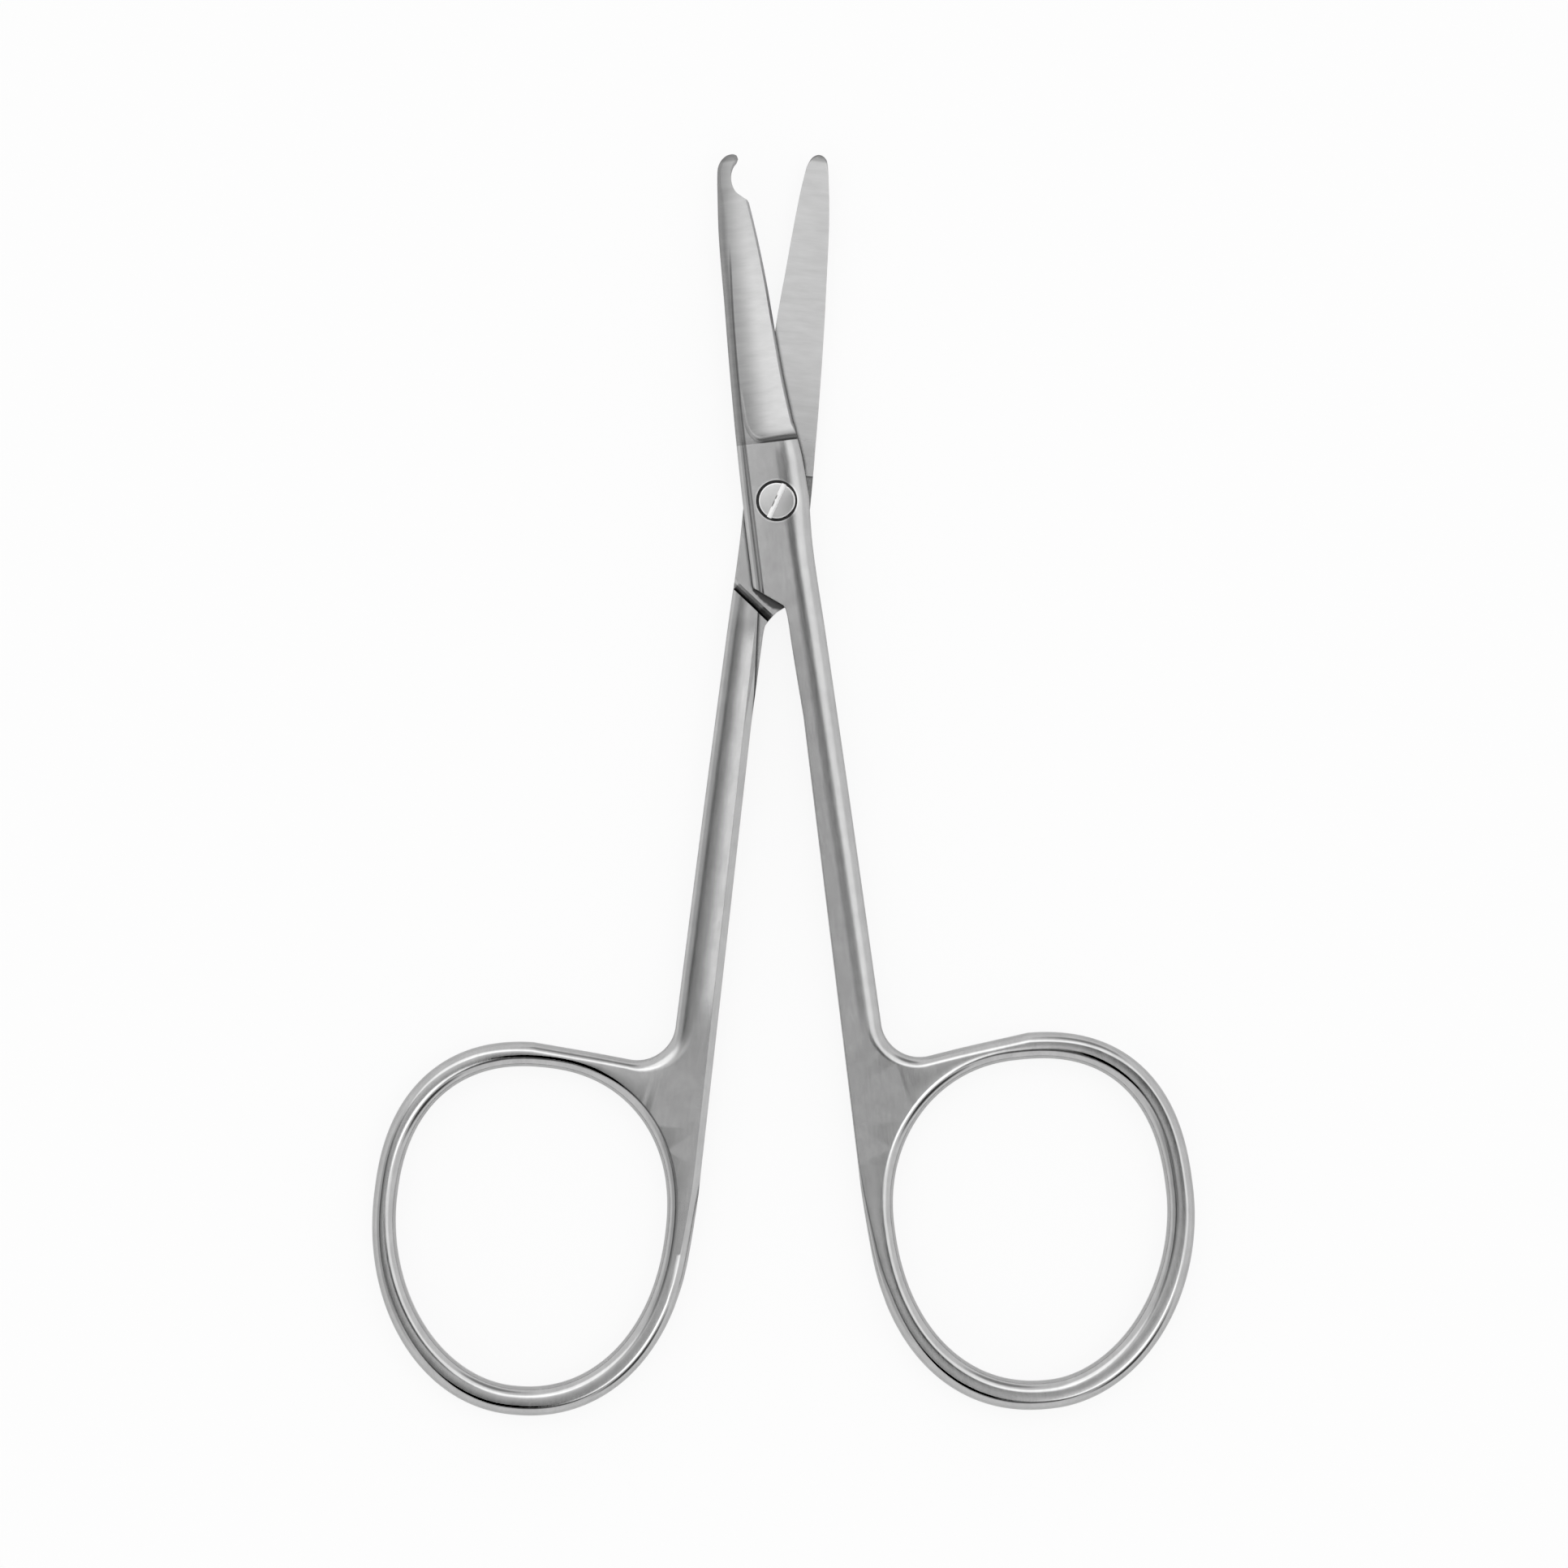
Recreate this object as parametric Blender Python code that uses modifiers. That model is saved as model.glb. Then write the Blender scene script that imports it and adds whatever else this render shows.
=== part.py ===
# Stitch scissors: two crossed halves turning on one slotted screw.
#
# The scissors lie flat. +Y points to the blade tips, +Z up from the surface they
# rest on, and the origin is on the screw's axis at that surface. Each half is
# modelled closed and face up, with its mating plane at z = 0 and its screw hole at
# the origin, and is then turned to its place. The same functions shape both halves.
import math

import bmesh
import bpy
from mathutils import Matrix, Vector
from mathutils.geometry import interpolate_bezier

# Opening angle of each half from the closed position
HOOK_HALF_ANGLE = math.radians(6.95)
PLAIN_HALF_ANGLE = math.radians(6.40)

# Lapped joint
LAP_THICKNESS = 0.0016
LAP_CLEARANCE = 0.00005
JOINT_SPINE = 0.00237
JOINT_EDGE = 0.00227
HOOK_LAP_REACH = 0.00608
PLAIN_LAP_REACH = 0.00665
LAP_ANGLE = math.radians(37.0)
SHOULDER_CLEARANCE = 0.00047
GROOVE_WIDTH = 0.0006
GROOVE_DEPTH = 0.00028
RELIEF_TOP = 0.0020
RELIEF_BOTTOM = -0.0010
RELIEF_DEPTH = 0.00015

# Screw
HEAD_RADIUS = 0.00129
HEAD_HEIGHT = 0.0007
HEAD_CROWN = 0.00005
HEAD_GAP = 0.00015
HEAD_CLEARANCE = 0.00004
NECK_RADIUS = 0.0009
THREAD_RADIUS = 0.0008
SCREW_CLEARANCE = 0.00003
SCREW_EDGE = 0.00006
SLOT_WIDTH = 0.00034
SLOT_DEPTH = 0.00034
SLOT_ANGLE = math.radians(-24.3)

# Blades
BLADE_LENGTH = 0.02443
BLADE_TIP_THICKNESS = 0.0009
BLADE_TAPER_START = 0.0045
BLADE_INNER_START = 0.0030
BLADE_INNER_SET = 0.00001
SPINE_BEVEL_WIDTH = 0.00066
SPINE_BEVEL_DROP = 0.00045
SPINE_BEVEL_FADE = 0.0045
TIP_ROUND = 0.00025
TIP_ROUND_DROP = 0.00032
TIP_ROUNDNESS = 0.6
CAMBER_FALL = 0.155
CAMBER_CREST = 0.3
CAMBER_FADE_START = 0.0034
CAMBER_FADE_END = 0.0014
HEEL_Y = 0.0041
HEEL_CORNER = 0.0019
HEEL_SQUEEZE = 1.6
HEEL_FILLET = 0.0006
HEEL_STEP = 0.00018
HEEL_STEP_END = 0.0085
CAMBER_LIFT = 0.00004
CAMBER_MARGIN = 0.0005
CAMBER_INNER_OVERLAP = 0.12
CAMBER_OUTER_OVERLAP = 0.24
CAMBER_CROWDING = 1.5
CUTTING_ANGLE = math.radians(78.0)
CUTTING_START = 0.0050
CUTTING_RUN_OUT = 0.0018
CUTTING_RUN_OUT_WIDTH = 0.0006
CUTTING_LAND = 0.00004
CUTTING_RISE = 0.0003

# Ends of the blades: x, and the distance below the tip
MOUTH_CORNER = (0.00060, 0.00348)
HOOK_MOUTH = ((0.00053, 0.00333), (0.00016, 0.00303), (-0.00024, 0.00263), (-0.00043, 0.00203),
              (-0.00040, 0.00143), (-0.00018, 0.00093), (0.00008, 0.00065))
HOOK_NOSE = ((0.00021, 0.00039), (0.00012, 0.00012), (-0.00019, 0.0), (-0.00064, 0.00010),
             (-0.00105, 0.00045), (-0.00129, 0.00093), (-0.00145, 0.00200))
PLAIN_NOSE = ((0.00054, 0.00100), (0.00038, 0.00056), (0.00015, 0.00020), (-0.00021, 0.0),
              (-0.00058, 0.00010), (-0.00085, 0.00042), (-0.00107, 0.00143))

# Sides of the blades between their ends and the joint: shares of the way across and along
HOOK_EDGE_SHAPE = ((0.084, 0.139), (0.245, 0.236), (0.443, 0.399), (0.557, 0.549), (0.659, 0.716),
                   (0.772, 0.835), (0.886, 0.926))
PLAIN_EDGE_SHAPE = ((0.084, 0.123), (0.245, 0.210), (0.430, 0.383), (0.503, 0.545), (0.640, 0.694),
                    (0.735, 0.802), (0.872, 0.926))
HOOK_SPINE_SHAPE = ((0.36, 0.16), (0.565, 0.373), (0.76, 0.563), (0.92, 0.778))
PLAIN_SPINE_SHAPE = ((0.20, 0.083), (0.35, 0.167), (0.52, 0.315), (0.68, 0.463), (0.80, 0.612),
                     (0.90, 0.772))

# Shanks
SHANK_INNER_X = 0.00004
HOOK_WAIST = 0.00212
PLAIN_WAIST = 0.00226
WAIST_Y = -0.0036
HOOK_NECK_WIDTH = 0.00223
PLAIN_NECK_WIDTH = 0.00238
SHANK_NECK_Y = -0.0095
HOOK_ROOT_WIDTH = 0.00274
PLAIN_ROOT_WIDTH = 0.00284
SHANK_TAPER_START = -0.0085
OUTER_SIDE_SHAPE = ((0.5, 0.45),)
SHANK_SHOULDER_WIDTH = 0.00115
SHANK_SHOULDER_DROP = 0.0006
JOINT_SHOULDER_WIDTH = 0.0017
JOINT_SHOULDER_DROP = 0.00065
SHANK_CROWN_WIDTH = 0.0015
SHANK_CROWN_DROP = 0.0005
INNER_BEVEL_WIDTH = 0.00045
INNER_BEVEL_DROP = 0.00035
INNER_ROUND = 0.0001
BREAK_EDGE = 0.00004
KEEN_EDGE = 0.000008

# Crotch, below the end of the lap: x, and the distance below that end
HOOK_CROTCH = ((-0.00045, 0.0), (-0.00030, 0.00016), (-0.00022, 0.00085), (-0.00018, 0.0024),
               (-0.00008, 0.0050))
PLAIN_CROTCH = ((-0.00090, 0.0), (-0.00060, 0.00013), (-0.00032, 0.00033), (-0.00014, 0.00060),
                (-0.00008, 0.00175))
CROTCH_LENGTH = 0.0075
CROTCH_STRIP_WIDTH = 0.00045
CROTCH_STRIP_LENGTH = 0.0070

# Finger rings
RING_THICKNESS = 0.0020
RING_SET_BACK = 0.00014
HOOK_RING_Y = -0.05114
PLAIN_RING_Y = -0.05137
HOOK_OPENING_SIDE = 0.00958
PLAIN_OPENING_SIDE = 0.00946
HOOK_OPENING_TOP = 0.01036
PLAIN_OPENING_TOP = 0.01025
OPENING_BOTTOM = 0.01212
BAND_INNER = 0.00186
BAND_BOTTOM = 0.00199
HOOK_BAND_OUTER = 0.00188
HOOK_BAND_TOP = 0.00181
PLAIN_BAND_OUTER = 0.00160
PLAIN_BAND_TOP = 0.00168
RING_OUTER_ROUND = 0.00070
RING_OUTER_DROP = 0.00070
RING_OPENING_ROUND = 0.00082
RING_OPENING_DROP = 0.00070
INNER_FACE_END = 0.00460
RING_ENTRY_Y = 0.00226
RING_ENTRY_ANGLES = (186, 193)
BAND_ANGLES = (200, 446)
BRIDGE_SHAPE = ((0.45, 0.40),)
ROOT_FILLET_ANGLES = (276, 184)
ROOT_FILLET_RADIUS = 0.00272
HOOK_ROOT_DIP = 0.00082
PLAIN_ROOT_DIP = 0.00049

# How square each quarter of a ring is, from upper right counter-clockwise: 2 is an ellipse
HOOK_OPENING_SQUARENESS = (2.47, 2.06, 2.20, 1.88)
HOOK_OUTER_SQUARENESS = (2.47, 2.01, 2.24, 1.96)
PLAIN_OPENING_SQUARENESS = (2.33, 2.18, 2.18, 1.95)
PLAIN_OUTER_SQUARENESS = (2.39, 2.40, 2.20, 2.03)

# Facets
RING_STEPS = 64
CURVE_STEPS = 4
TIP_STEPS = 3
SHANK_STEPS = 3
EDGE_STEPS = 4
ROUND_SIDES = 48
CAMBER_COLUMNS = 16
HEEL_ROWS = 12
CAMBER_ROWS = 11
FADE_ROWS = 9
FILLET_STEPS = 12
CROWN_STEPS = 4

STEEL_COLOUR = (0.48, 0.48, 0.48, 1.0)
SCREW_COLOUR = (0.60, 0.60, 0.60, 1.0)
STEEL_ROUGHNESS = 0.35
SCREW_ROUGHNESS = 0.25

# Sine of the turn from which an outline point counts as a corner
SHARP_TURN = 0.17

# Turn between two facets up to which they are shaded as one smooth face
SMOOTH_ANGLE = math.radians(28.0)

# A length that is well outside a half, for cutters
OUTSIDE = 0.008


# Scene and materials

def clear_scene():
    for thing in list(bpy.data.objects):
        bpy.data.objects.remove(thing, do_unlink=True)


def new_collection(name):
    collection = bpy.data.collections.new(name)
    bpy.context.scene.collection.children.link(collection)
    return collection


def steel(name, colour, roughness):
    material = bpy.data.materials.new(name)
    material.use_nodes = True
    shader = material.node_tree.nodes["Principled BSDF"]
    shader.inputs["Base Color"].default_value = colour
    shader.inputs["Metallic"].default_value = 1.0
    shader.inputs["Roughness"].default_value = roughness
    return material


def object_from(bm, name, collection):
    mesh = bpy.data.meshes.new(name)
    bm.to_mesh(mesh)
    bm.free()
    thing = bpy.data.objects.new(name, mesh)
    collection.objects.link(thing)
    return thing


def cut(target, cutter):
    cutter.hide_render = True
    cutter.display_type = "WIRE"
    cutter.parent = target
    modifier = target.modifiers.new(cutter.name, "BOOLEAN")
    modifier.operation = "DIFFERENCE"
    modifier.solver = "EXACT"
    modifier.object = cutter


# Curves in the plane

def smooth(points, steps=CURVE_STEPS):
    """Points along a smooth curve through the given ones."""
    knots = [Vector(point) for point in points]
    last = len(knots) - 1
    tangents = []
    for i, knot in enumerate(knots):
        before = knots[max(i - 1, 0)]
        after = knots[min(i + 1, last)]
        tangents.append((after - before) / ((knot - before).length + (after - knot).length))
    curve = []
    for i in range(last):
        third = (knots[i + 1] - knots[i]).length / 3
        handle_out = knots[i] + tangents[i] * third
        handle_in = knots[i + 1] - tangents[i + 1] * third
        curve += interpolate_bezier(knots[i], handle_out, handle_in, knots[i + 1], steps + 1)[:-1]
    curve.append(knots[last])
    return curve


def egg_point(centre, reaches, squareness, degrees):
    """A point of an egg-shaped ring, whose quarters each have their own reach and squareness."""
    c = math.cos(math.radians(degrees))
    s = math.sin(math.radians(degrees))
    right, left, top, bottom = reaches
    if s >= 0:
        power = squareness[0] if c >= 0 else squareness[1]
    else:
        power = squareness[3] if c >= 0 else squareness[2]
    x = math.copysign((right if c >= 0 else left) * abs(c) ** (2 / power), c)
    y = math.copysign((top if s >= 0 else bottom) * abs(s) ** (2 / power), s)
    return centre + Vector((x, y))


def egg_arc(centre, reaches, squareness, start, end, steps):
    turn = (end - start) / steps
    return [egg_point(centre, reaches, squareness, start + turn * i) for i in range(steps + 1)]


def circle_arc(centre, radius, start, end, steps):
    return egg_arc(centre, (radius,) * 4, (2, 2, 2, 2), start, end, steps)


# Finishes of an edge on one side: how far it reaches in, how far it falls, and how round
# it is, from a straight bevel to a quarter of an ellipse

STRAIGHT = 0.0
ROUND = 1.0
BROKEN = (BREAK_EDGE, BREAK_EDGE, ROUND)
KEEN = (KEEN_EDGE, KEEN_EDGE, STRAIGHT)
TIP = (TIP_ROUND, TIP_ROUND_DROP, TIP_ROUNDNESS)
BLADE_BEVEL = (SPINE_BEVEL_WIDTH, SPINE_BEVEL_DROP, ROUND)
INNER_FACE = (INNER_ROUND, INNER_ROUND, ROUND)
INNER_BEVEL = (INNER_BEVEL_WIDTH, INNER_BEVEL_DROP, STRAIGHT)
SHOULDER = (SHANK_SHOULDER_WIDTH, SHANK_SHOULDER_DROP, ROUND)
JOINT_SHOULDER = (JOINT_SHOULDER_WIDTH, JOINT_SHOULDER_DROP, ROUND)
CROWN = (SHANK_CROWN_WIDTH, SHANK_CROWN_DROP, ROUND)
RING_OUTER = (RING_OUTER_ROUND, RING_OUTER_DROP, ROUND)
RING_OPENING = (RING_OPENING_ROUND, RING_OPENING_DROP, ROUND)


def stretch(points, start, end=None):
    """Outline points with their finishes on the face and on the mating side, from start to end."""
    end = end or start
    lengths = [0.0]
    for a, b in zip(points, points[1:]):
        lengths.append(lengths[-1] + (b - a).length)
    rows = []
    for point, length in zip(points, lengths):
        share = length / lengths[-1]
        rows.append((point, [a + (b - a) * share for a, b in zip(start, end)]))
    return rows


# Outline of a half, counter-clockwise from the lap's corner: the lap's end, the crotch,
# the inner side of the shank, the ring, the outer side of the shank and the blade

class Half:
    """The sizes in which the two halves differ."""

    def __init__(self, name):
        hook = name == "hook_half"
        self.name = name
        self.lap_reach = HOOK_LAP_REACH if hook else PLAIN_LAP_REACH
        self.shoulder_reach = (PLAIN_LAP_REACH if hook else HOOK_LAP_REACH) + SHOULDER_CLEARANCE
        self.crotch = HOOK_CROTCH if hook else PLAIN_CROTCH
        self.waist = HOOK_WAIST if hook else PLAIN_WAIST
        self.neck_width = HOOK_NECK_WIDTH if hook else PLAIN_NECK_WIDTH
        self.root_width = HOOK_ROOT_WIDTH if hook else PLAIN_ROOT_WIDTH
        self.root_dip = HOOK_ROOT_DIP if hook else PLAIN_ROOT_DIP
        side = HOOK_OPENING_SIDE if hook else PLAIN_OPENING_SIDE
        self.ring_centre = Vector((SHANK_INNER_X + RING_SET_BACK + BAND_INNER + side,
                                   HOOK_RING_Y if hook else PLAIN_RING_Y))
        top = HOOK_OPENING_TOP if hook else PLAIN_OPENING_TOP
        band_outer = HOOK_BAND_OUTER if hook else PLAIN_BAND_OUTER
        band_top = HOOK_BAND_TOP if hook else PLAIN_BAND_TOP
        self.opening = (side, side, top, OPENING_BOTTOM)
        self.outer = (side + band_outer, side + BAND_INNER, top + band_top, OPENING_BOTTOM + BAND_BOTTOM)
        self.opening_squareness = HOOK_OPENING_SQUARENESS if hook else PLAIN_OPENING_SQUARENESS
        self.outer_squareness = HOOK_OUTER_SQUARENESS if hook else PLAIN_OUTER_SQUARENESS


def lap_end(half, x, below=0.0):
    """A point on the sloping end of the lap, or this far below it."""
    corner_y = -(half.lap_reach - JOINT_SPINE * math.sin(LAP_ANGLE)) / math.cos(LAP_ANGLE)
    return Vector((x, corner_y - (x + JOINT_SPINE) * math.tan(LAP_ANGLE) - below))


def crotch(half):
    """From the end of the lap down to the straight inner side of the shank."""
    points = [lap_end(half, x, below) for x, below in half.crotch]
    return smooth(points + [lap_end(half, SHANK_INNER_X, CROTCH_LENGTH)])


def from_tip(points):
    return [Vector((x, BLADE_LENGTH - below)) for x, below in points]


def between(start, end, shape):
    """Points on the way from start to end, at shares of the way across and along."""
    way = end - start
    return [start + Vector((way.x * across, way.y * along)) for across, along in shape]


def cutting_edge(corner, shape):
    start = Vector((JOINT_EDGE, 0.0))
    return smooth([start] + between(start, corner, shape) + [corner])


def hook_edge():
    """The cutting edge from the joint to the mouth of the hook."""
    return cutting_edge(*from_tip([MOUTH_CORNER]), HOOK_EDGE_SHAPE)


def plain_edge():
    return cutting_edge(*from_tip(PLAIN_NOSE[:1]), PLAIN_EDGE_SHAPE)


def hook_mouth():
    """The notch that catches the thread, up to the hook's round end."""
    corner, *mouth, nose = from_tip((MOUTH_CORNER, *HOOK_MOUTH, HOOK_NOSE[0]))
    return [corner] + smooth(mouth + [nose], TIP_STEPS)


def spine(half, start, shape):
    """The back of the blade, down to the corner of the lap."""
    joint = Vector((-JOINT_SPINE, 0.0))
    return smooth([start] + between(start, joint, shape) + [joint, lap_end(half, -JOINT_SPINE)])


def hook_spine(half):
    return spine(half, *from_tip(HOOK_NOSE[-1:]), HOOK_SPINE_SHAPE)


def plain_spine(half):
    return spine(half, *from_tip(PLAIN_NOSE[-1:]), PLAIN_SPINE_SHAPE)


def handle_stretches(half):
    centre = half.ring_centre
    squareness = half.outer_squareness
    crotch_side = crotch(half)
    inner_start = crotch_side[-1]
    inner_end = Vector((SHANK_INNER_X, centre.y + INNER_FACE_END))
    inner_side = [inner_start.lerp(inner_end, i / SHANK_STEPS) for i in range(SHANK_STEPS + 1)]
    band = egg_arc(centre, half.outer, squareness, *BAND_ANGLES, RING_STEPS)
    entry = [egg_point(centre, half.outer, squareness, angle) for angle in RING_ENTRY_ANGLES]
    ring_entry = smooth([inner_end, Vector((SHANK_INNER_X, centre.y + RING_ENTRY_Y))] + entry + [band[0]])
    root_x = SHANK_INNER_X + half.root_width
    neck_x = SHANK_INNER_X + half.neck_width
    ring_top = centre.y + half.outer[2]
    fillet_centre = Vector((root_x + BREAK_EDGE + ROOT_FILLET_RADIUS,
                            ring_top - half.root_dip + ROOT_FILLET_RADIUS))
    fillet = circle_arc(fillet_centre, ROOT_FILLET_RADIUS, *ROOT_FILLET_ANGLES, FILLET_STEPS)
    bridge_middle = between(fillet[0], Vector((centre.x, ring_top)), BRIDGE_SHAPE)
    bridge = smooth([band[-1]] + bridge_middle + [fillet[0]])
    neck = Vector((neck_x, SHANK_NECK_Y))
    middle = between(neck, fillet[-1], OUTER_SIDE_SHAPE)
    waist = Vector((half.waist, WAIST_Y))
    outer_side = smooth([fillet[-1]] + middle + [neck, waist, Vector((JOINT_EDGE, 0.0))])
    lap = [lap_end(half, -JOINT_SPINE), lap_end(half, -JOINT_SPINE + SPINE_BEVEL_WIDTH + BREAK_EDGE),
           crotch_side[0]]
    return [
        stretch(lap, BROKEN + BROKEN),
        stretch(crotch_side, BROKEN + BROKEN, INNER_FACE + INNER_BEVEL),
        stretch(inner_side, INNER_FACE + INNER_BEVEL),
        stretch(ring_entry, INNER_FACE + INNER_BEVEL, RING_OUTER + RING_OUTER),
        stretch(band, RING_OUTER + RING_OUTER),
        stretch(bridge, RING_OUTER + RING_OUTER),
        stretch(fillet, RING_OUTER + RING_OUTER, SHOULDER + CROWN),
        stretch(outer_side, SHOULDER + CROWN, JOINT_SHOULDER + CROWN),
    ]


def closed(stretches):
    """One closed outline of points, each with the finish that comes to it and the one that goes on."""
    outline = []
    for before, rows in zip([stretches[-1]] + stretches, stretches):
        outline.append((rows[0][0], before[-1][1], rows[0][1]))
        outline += [(point, edge, edge) for point, edge in rows[1:-1]]
    return outline


def spine_stretches(back):
    """The bevel along the back of the blade, which fades into the round tip."""
    full = next(i for i, point in enumerate(back) if point.y < BLADE_LENGTH - SPINE_BEVEL_FADE)
    return [stretch(back[:full + 1], TIP + BROKEN, BLADE_BEVEL + BROKEN),
            stretch(back[full:], BLADE_BEVEL + BROKEN)]


def nose_stretches(nose, start):
    """The round end of a blade, rounded on both sides at its top and only on the face beside it."""
    top = max(range(len(nose)), key=lambda i: nose[i].y)
    return [stretch(nose[:top + 1], start, TIP + TIP), stretch(nose[top:], TIP + TIP, TIP + BROKEN)]


def hook_outline(half):
    mouth = hook_mouth()
    neck = len(mouth) // 2
    return closed(handle_stretches(half) + [
        stretch(hook_edge(), JOINT_SHOULDER + KEEN, BROKEN + KEEN),
        stretch(mouth[:neck + 1], BROKEN + KEEN, BROKEN + BROKEN),
        stretch(mouth[neck:], BROKEN + BROKEN, TIP + TIP),
        *nose_stretches(smooth(from_tip(HOOK_NOSE), TIP_STEPS), TIP + TIP),
        *spine_stretches(hook_spine(half)),
    ])


def plain_outline(half):
    return closed(handle_stretches(half) + [
        stretch(plain_edge(), JOINT_SHOULDER + KEEN, BROKEN + KEEN),
        *nose_stretches(smooth(from_tip(PLAIN_NOSE), TIP_STEPS), BROKEN + KEEN),
        *spine_stretches(plain_spine(half)),
    ])


def opening_outline(half):
    """The finger opening, clockwise."""
    points = egg_arc(half.ring_centre, half.opening, half.opening_squareness, 360, 0, RING_STEPS)
    return closed([stretch(points, RING_OPENING + RING_OPENING)])


# Blank of a half: a forging whose thickness tapers to the blade tip and to the ring,
# with a finished edge all round its outline and its opening

def face_height(y):
    """Height of the outer face above the mating plane."""
    if y > BLADE_TAPER_START:
        share = (y - BLADE_TAPER_START) / (BLADE_LENGTH - BLADE_TAPER_START)
        return LAP_THICKNESS + (BLADE_TIP_THICKNESS - LAP_THICKNESS) * min(share, 1.0)
    return shank_half_thickness(y) - LAP_CLEARANCE / 2


def back_depth(y):
    """Depth of the other face below the mating plane, which the blade stays just clear of."""
    if y > BLADE_INNER_START:
        return -BLADE_INNER_SET
    return shank_half_thickness(y) + LAP_CLEARANCE / 2


def shank_half_thickness(y):
    at_joint = LAP_THICKNESS + LAP_CLEARANCE / 2
    at_ring = RING_THICKNESS / 2
    ring_start = (HOOK_RING_Y + PLAIN_RING_Y + HOOK_OPENING_TOP + PLAIN_OPENING_TOP) / 2
    share = (SHANK_TAPER_START - y) / (SHANK_TAPER_START - ring_start)
    share = min(max(share, 0.0), 1.0)
    return at_joint + (at_ring - at_joint) * share


def inset(outline, i, reach_before, reach_after):
    """A point of the outline moved into the metal, by its own reach from each of its two edges."""
    here = outline[i][0]
    before = (here - outline[i - 1][0]).normalized()
    after = (outline[(i + 1) % len(outline)][0] - here).normalized()
    normal_before = Vector((-before.y, before.x))
    normal_after = Vector((-after.y, after.x))
    turn = before.cross(after)
    if abs(turn) < SHARP_TURN:
        return here + (normal_before + normal_after).normalized() * (reach_before + reach_after) / 2
    return here + (after * reach_before - before * reach_after) / turn


def edge_reach(edge, share):
    """How far in and how far down the edge's profile is, at a share of the way in."""
    width, drop, roundness = edge
    turn = math.pi / 2 * share
    reach = width * (roundness * (1 - math.cos(turn)) + (1 - roundness) * share)
    fall = drop * (roundness * (1 - math.sin(turn)) + (1 - roundness) * (1 - share))
    return reach, fall


def edge_rows(outline, side, height):
    """Loops of points from the outline's side wall to the flat face."""
    rows = []
    for step in range(EDGE_STEPS + 1):
        row = []
        for i, (_, before, after) in enumerate(outline):
            reach_before, fall_before = edge_reach(before[side], step / EDGE_STEPS)
            reach_after, fall_after = edge_reach(after[side], step / EDGE_STEPS)
            place = inset(outline, i, reach_before, reach_after)
            row.append((place.x, place.y, height(place.y) - max(fall_before, fall_after)))
        rows.append(row)
    return rows


def skin_loop(bm, outline):
    """Faces of the edge all round one outline; returns the border edges of both flat faces."""
    face_rows = edge_rows(outline, slice(0, 3), face_height)
    back_rows = edge_rows(outline, slice(3, 6), back_depth)
    back_rows = [[(x, y, -z) for x, y, z in row] for row in back_rows]
    loops = [[bm.verts.new(co) for co in row] for row in reversed(back_rows)]
    loops += [[bm.verts.new(co) for co in row] for row in face_rows]
    for lower, upper in zip(loops, loops[1:]):
        for i in range(len(lower)):
            j = (i + 1) % len(lower)
            bm.faces.new((lower[i], lower[j], upper[j], upper[i]))
    borders = []
    for loop in (loops[0], loops[-1]):
        borders.append([bm.edges.get((loop[i - 1], loop[i])) for i in range(len(loop))])
    return borders


def half_blank(half, outline, collection):
    bm = bmesh.new()
    outer_back, outer_face = skin_loop(bm, outline)
    inner_back, inner_face = skin_loop(bm, opening_outline(half))
    bmesh.ops.triangle_fill(bm, edges=outer_face + inner_face, use_beauty=True, normal=(0, 0, 1))
    bmesh.ops.triangle_fill(bm, edges=outer_back + inner_back, use_beauty=True, normal=(0, 0, -1))
    bmesh.ops.triangulate(bm, faces=bm.faces)
    bmesh.ops.recalc_face_normals(bm, faces=bm.faces)
    return object_from(bm, half.name, collection)


# Cutters

def prism(name, corners, low, high, collection):
    """An upright prism on a polygon given counter-clockwise."""
    bm = bmesh.new()
    floor = bm.faces.new([bm.verts.new((x, y, low)) for x, y in corners])
    raised = bmesh.ops.extrude_face_region(bm, geom=[floor])["geom"]
    walls = [item for item in raised if isinstance(item, bmesh.types.BMVert)]
    bmesh.ops.translate(bm, verts=walls, vec=(0, 0, high - low))
    bmesh.ops.recalc_face_normals(bm, faces=bm.faces)
    return object_from(bm, name, collection)


def rod(name, radius, low, high, collection, sides=ROUND_SIDES):
    bm = bmesh.new()
    bmesh.ops.create_cone(bm, cap_ends=True, segments=sides, radius1=radius, radius2=radius,
                          depth=high - low, matrix=Matrix.Translation((0, 0, (low + high) / 2)))
    return object_from(bm, name, collection)


def shoulder_point(x, distance):
    """A point of the line that lies this far from the pivot, along the lap's mirrored end."""
    return (x, (x * math.sin(LAP_ANGLE) - distance) / math.cos(LAP_ANGLE))


def lap_cutter(half, collection):
    """Clears the lap and the blade down to the mating plane, and a strip beside the crotch."""
    wall = half.shoulder_reach
    strip_end = lap_end(half, 0.0, CROTCH_STRIP_LENGTH).y
    beyond_tip = BLADE_LENGTH + OUTSIDE
    corners = [(-OUTSIDE, beyond_tip), (-OUTSIDE, strip_end), (-BREAK_EDGE, strip_end),
               shoulder_point(CROTCH_STRIP_WIDTH, wall), shoulder_point(OUTSIDE, wall),
               (OUTSIDE, beyond_tip)]
    return prism(half.name + "_lap_cutter", corners, -OUTSIDE, 0.0, collection)


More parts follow.
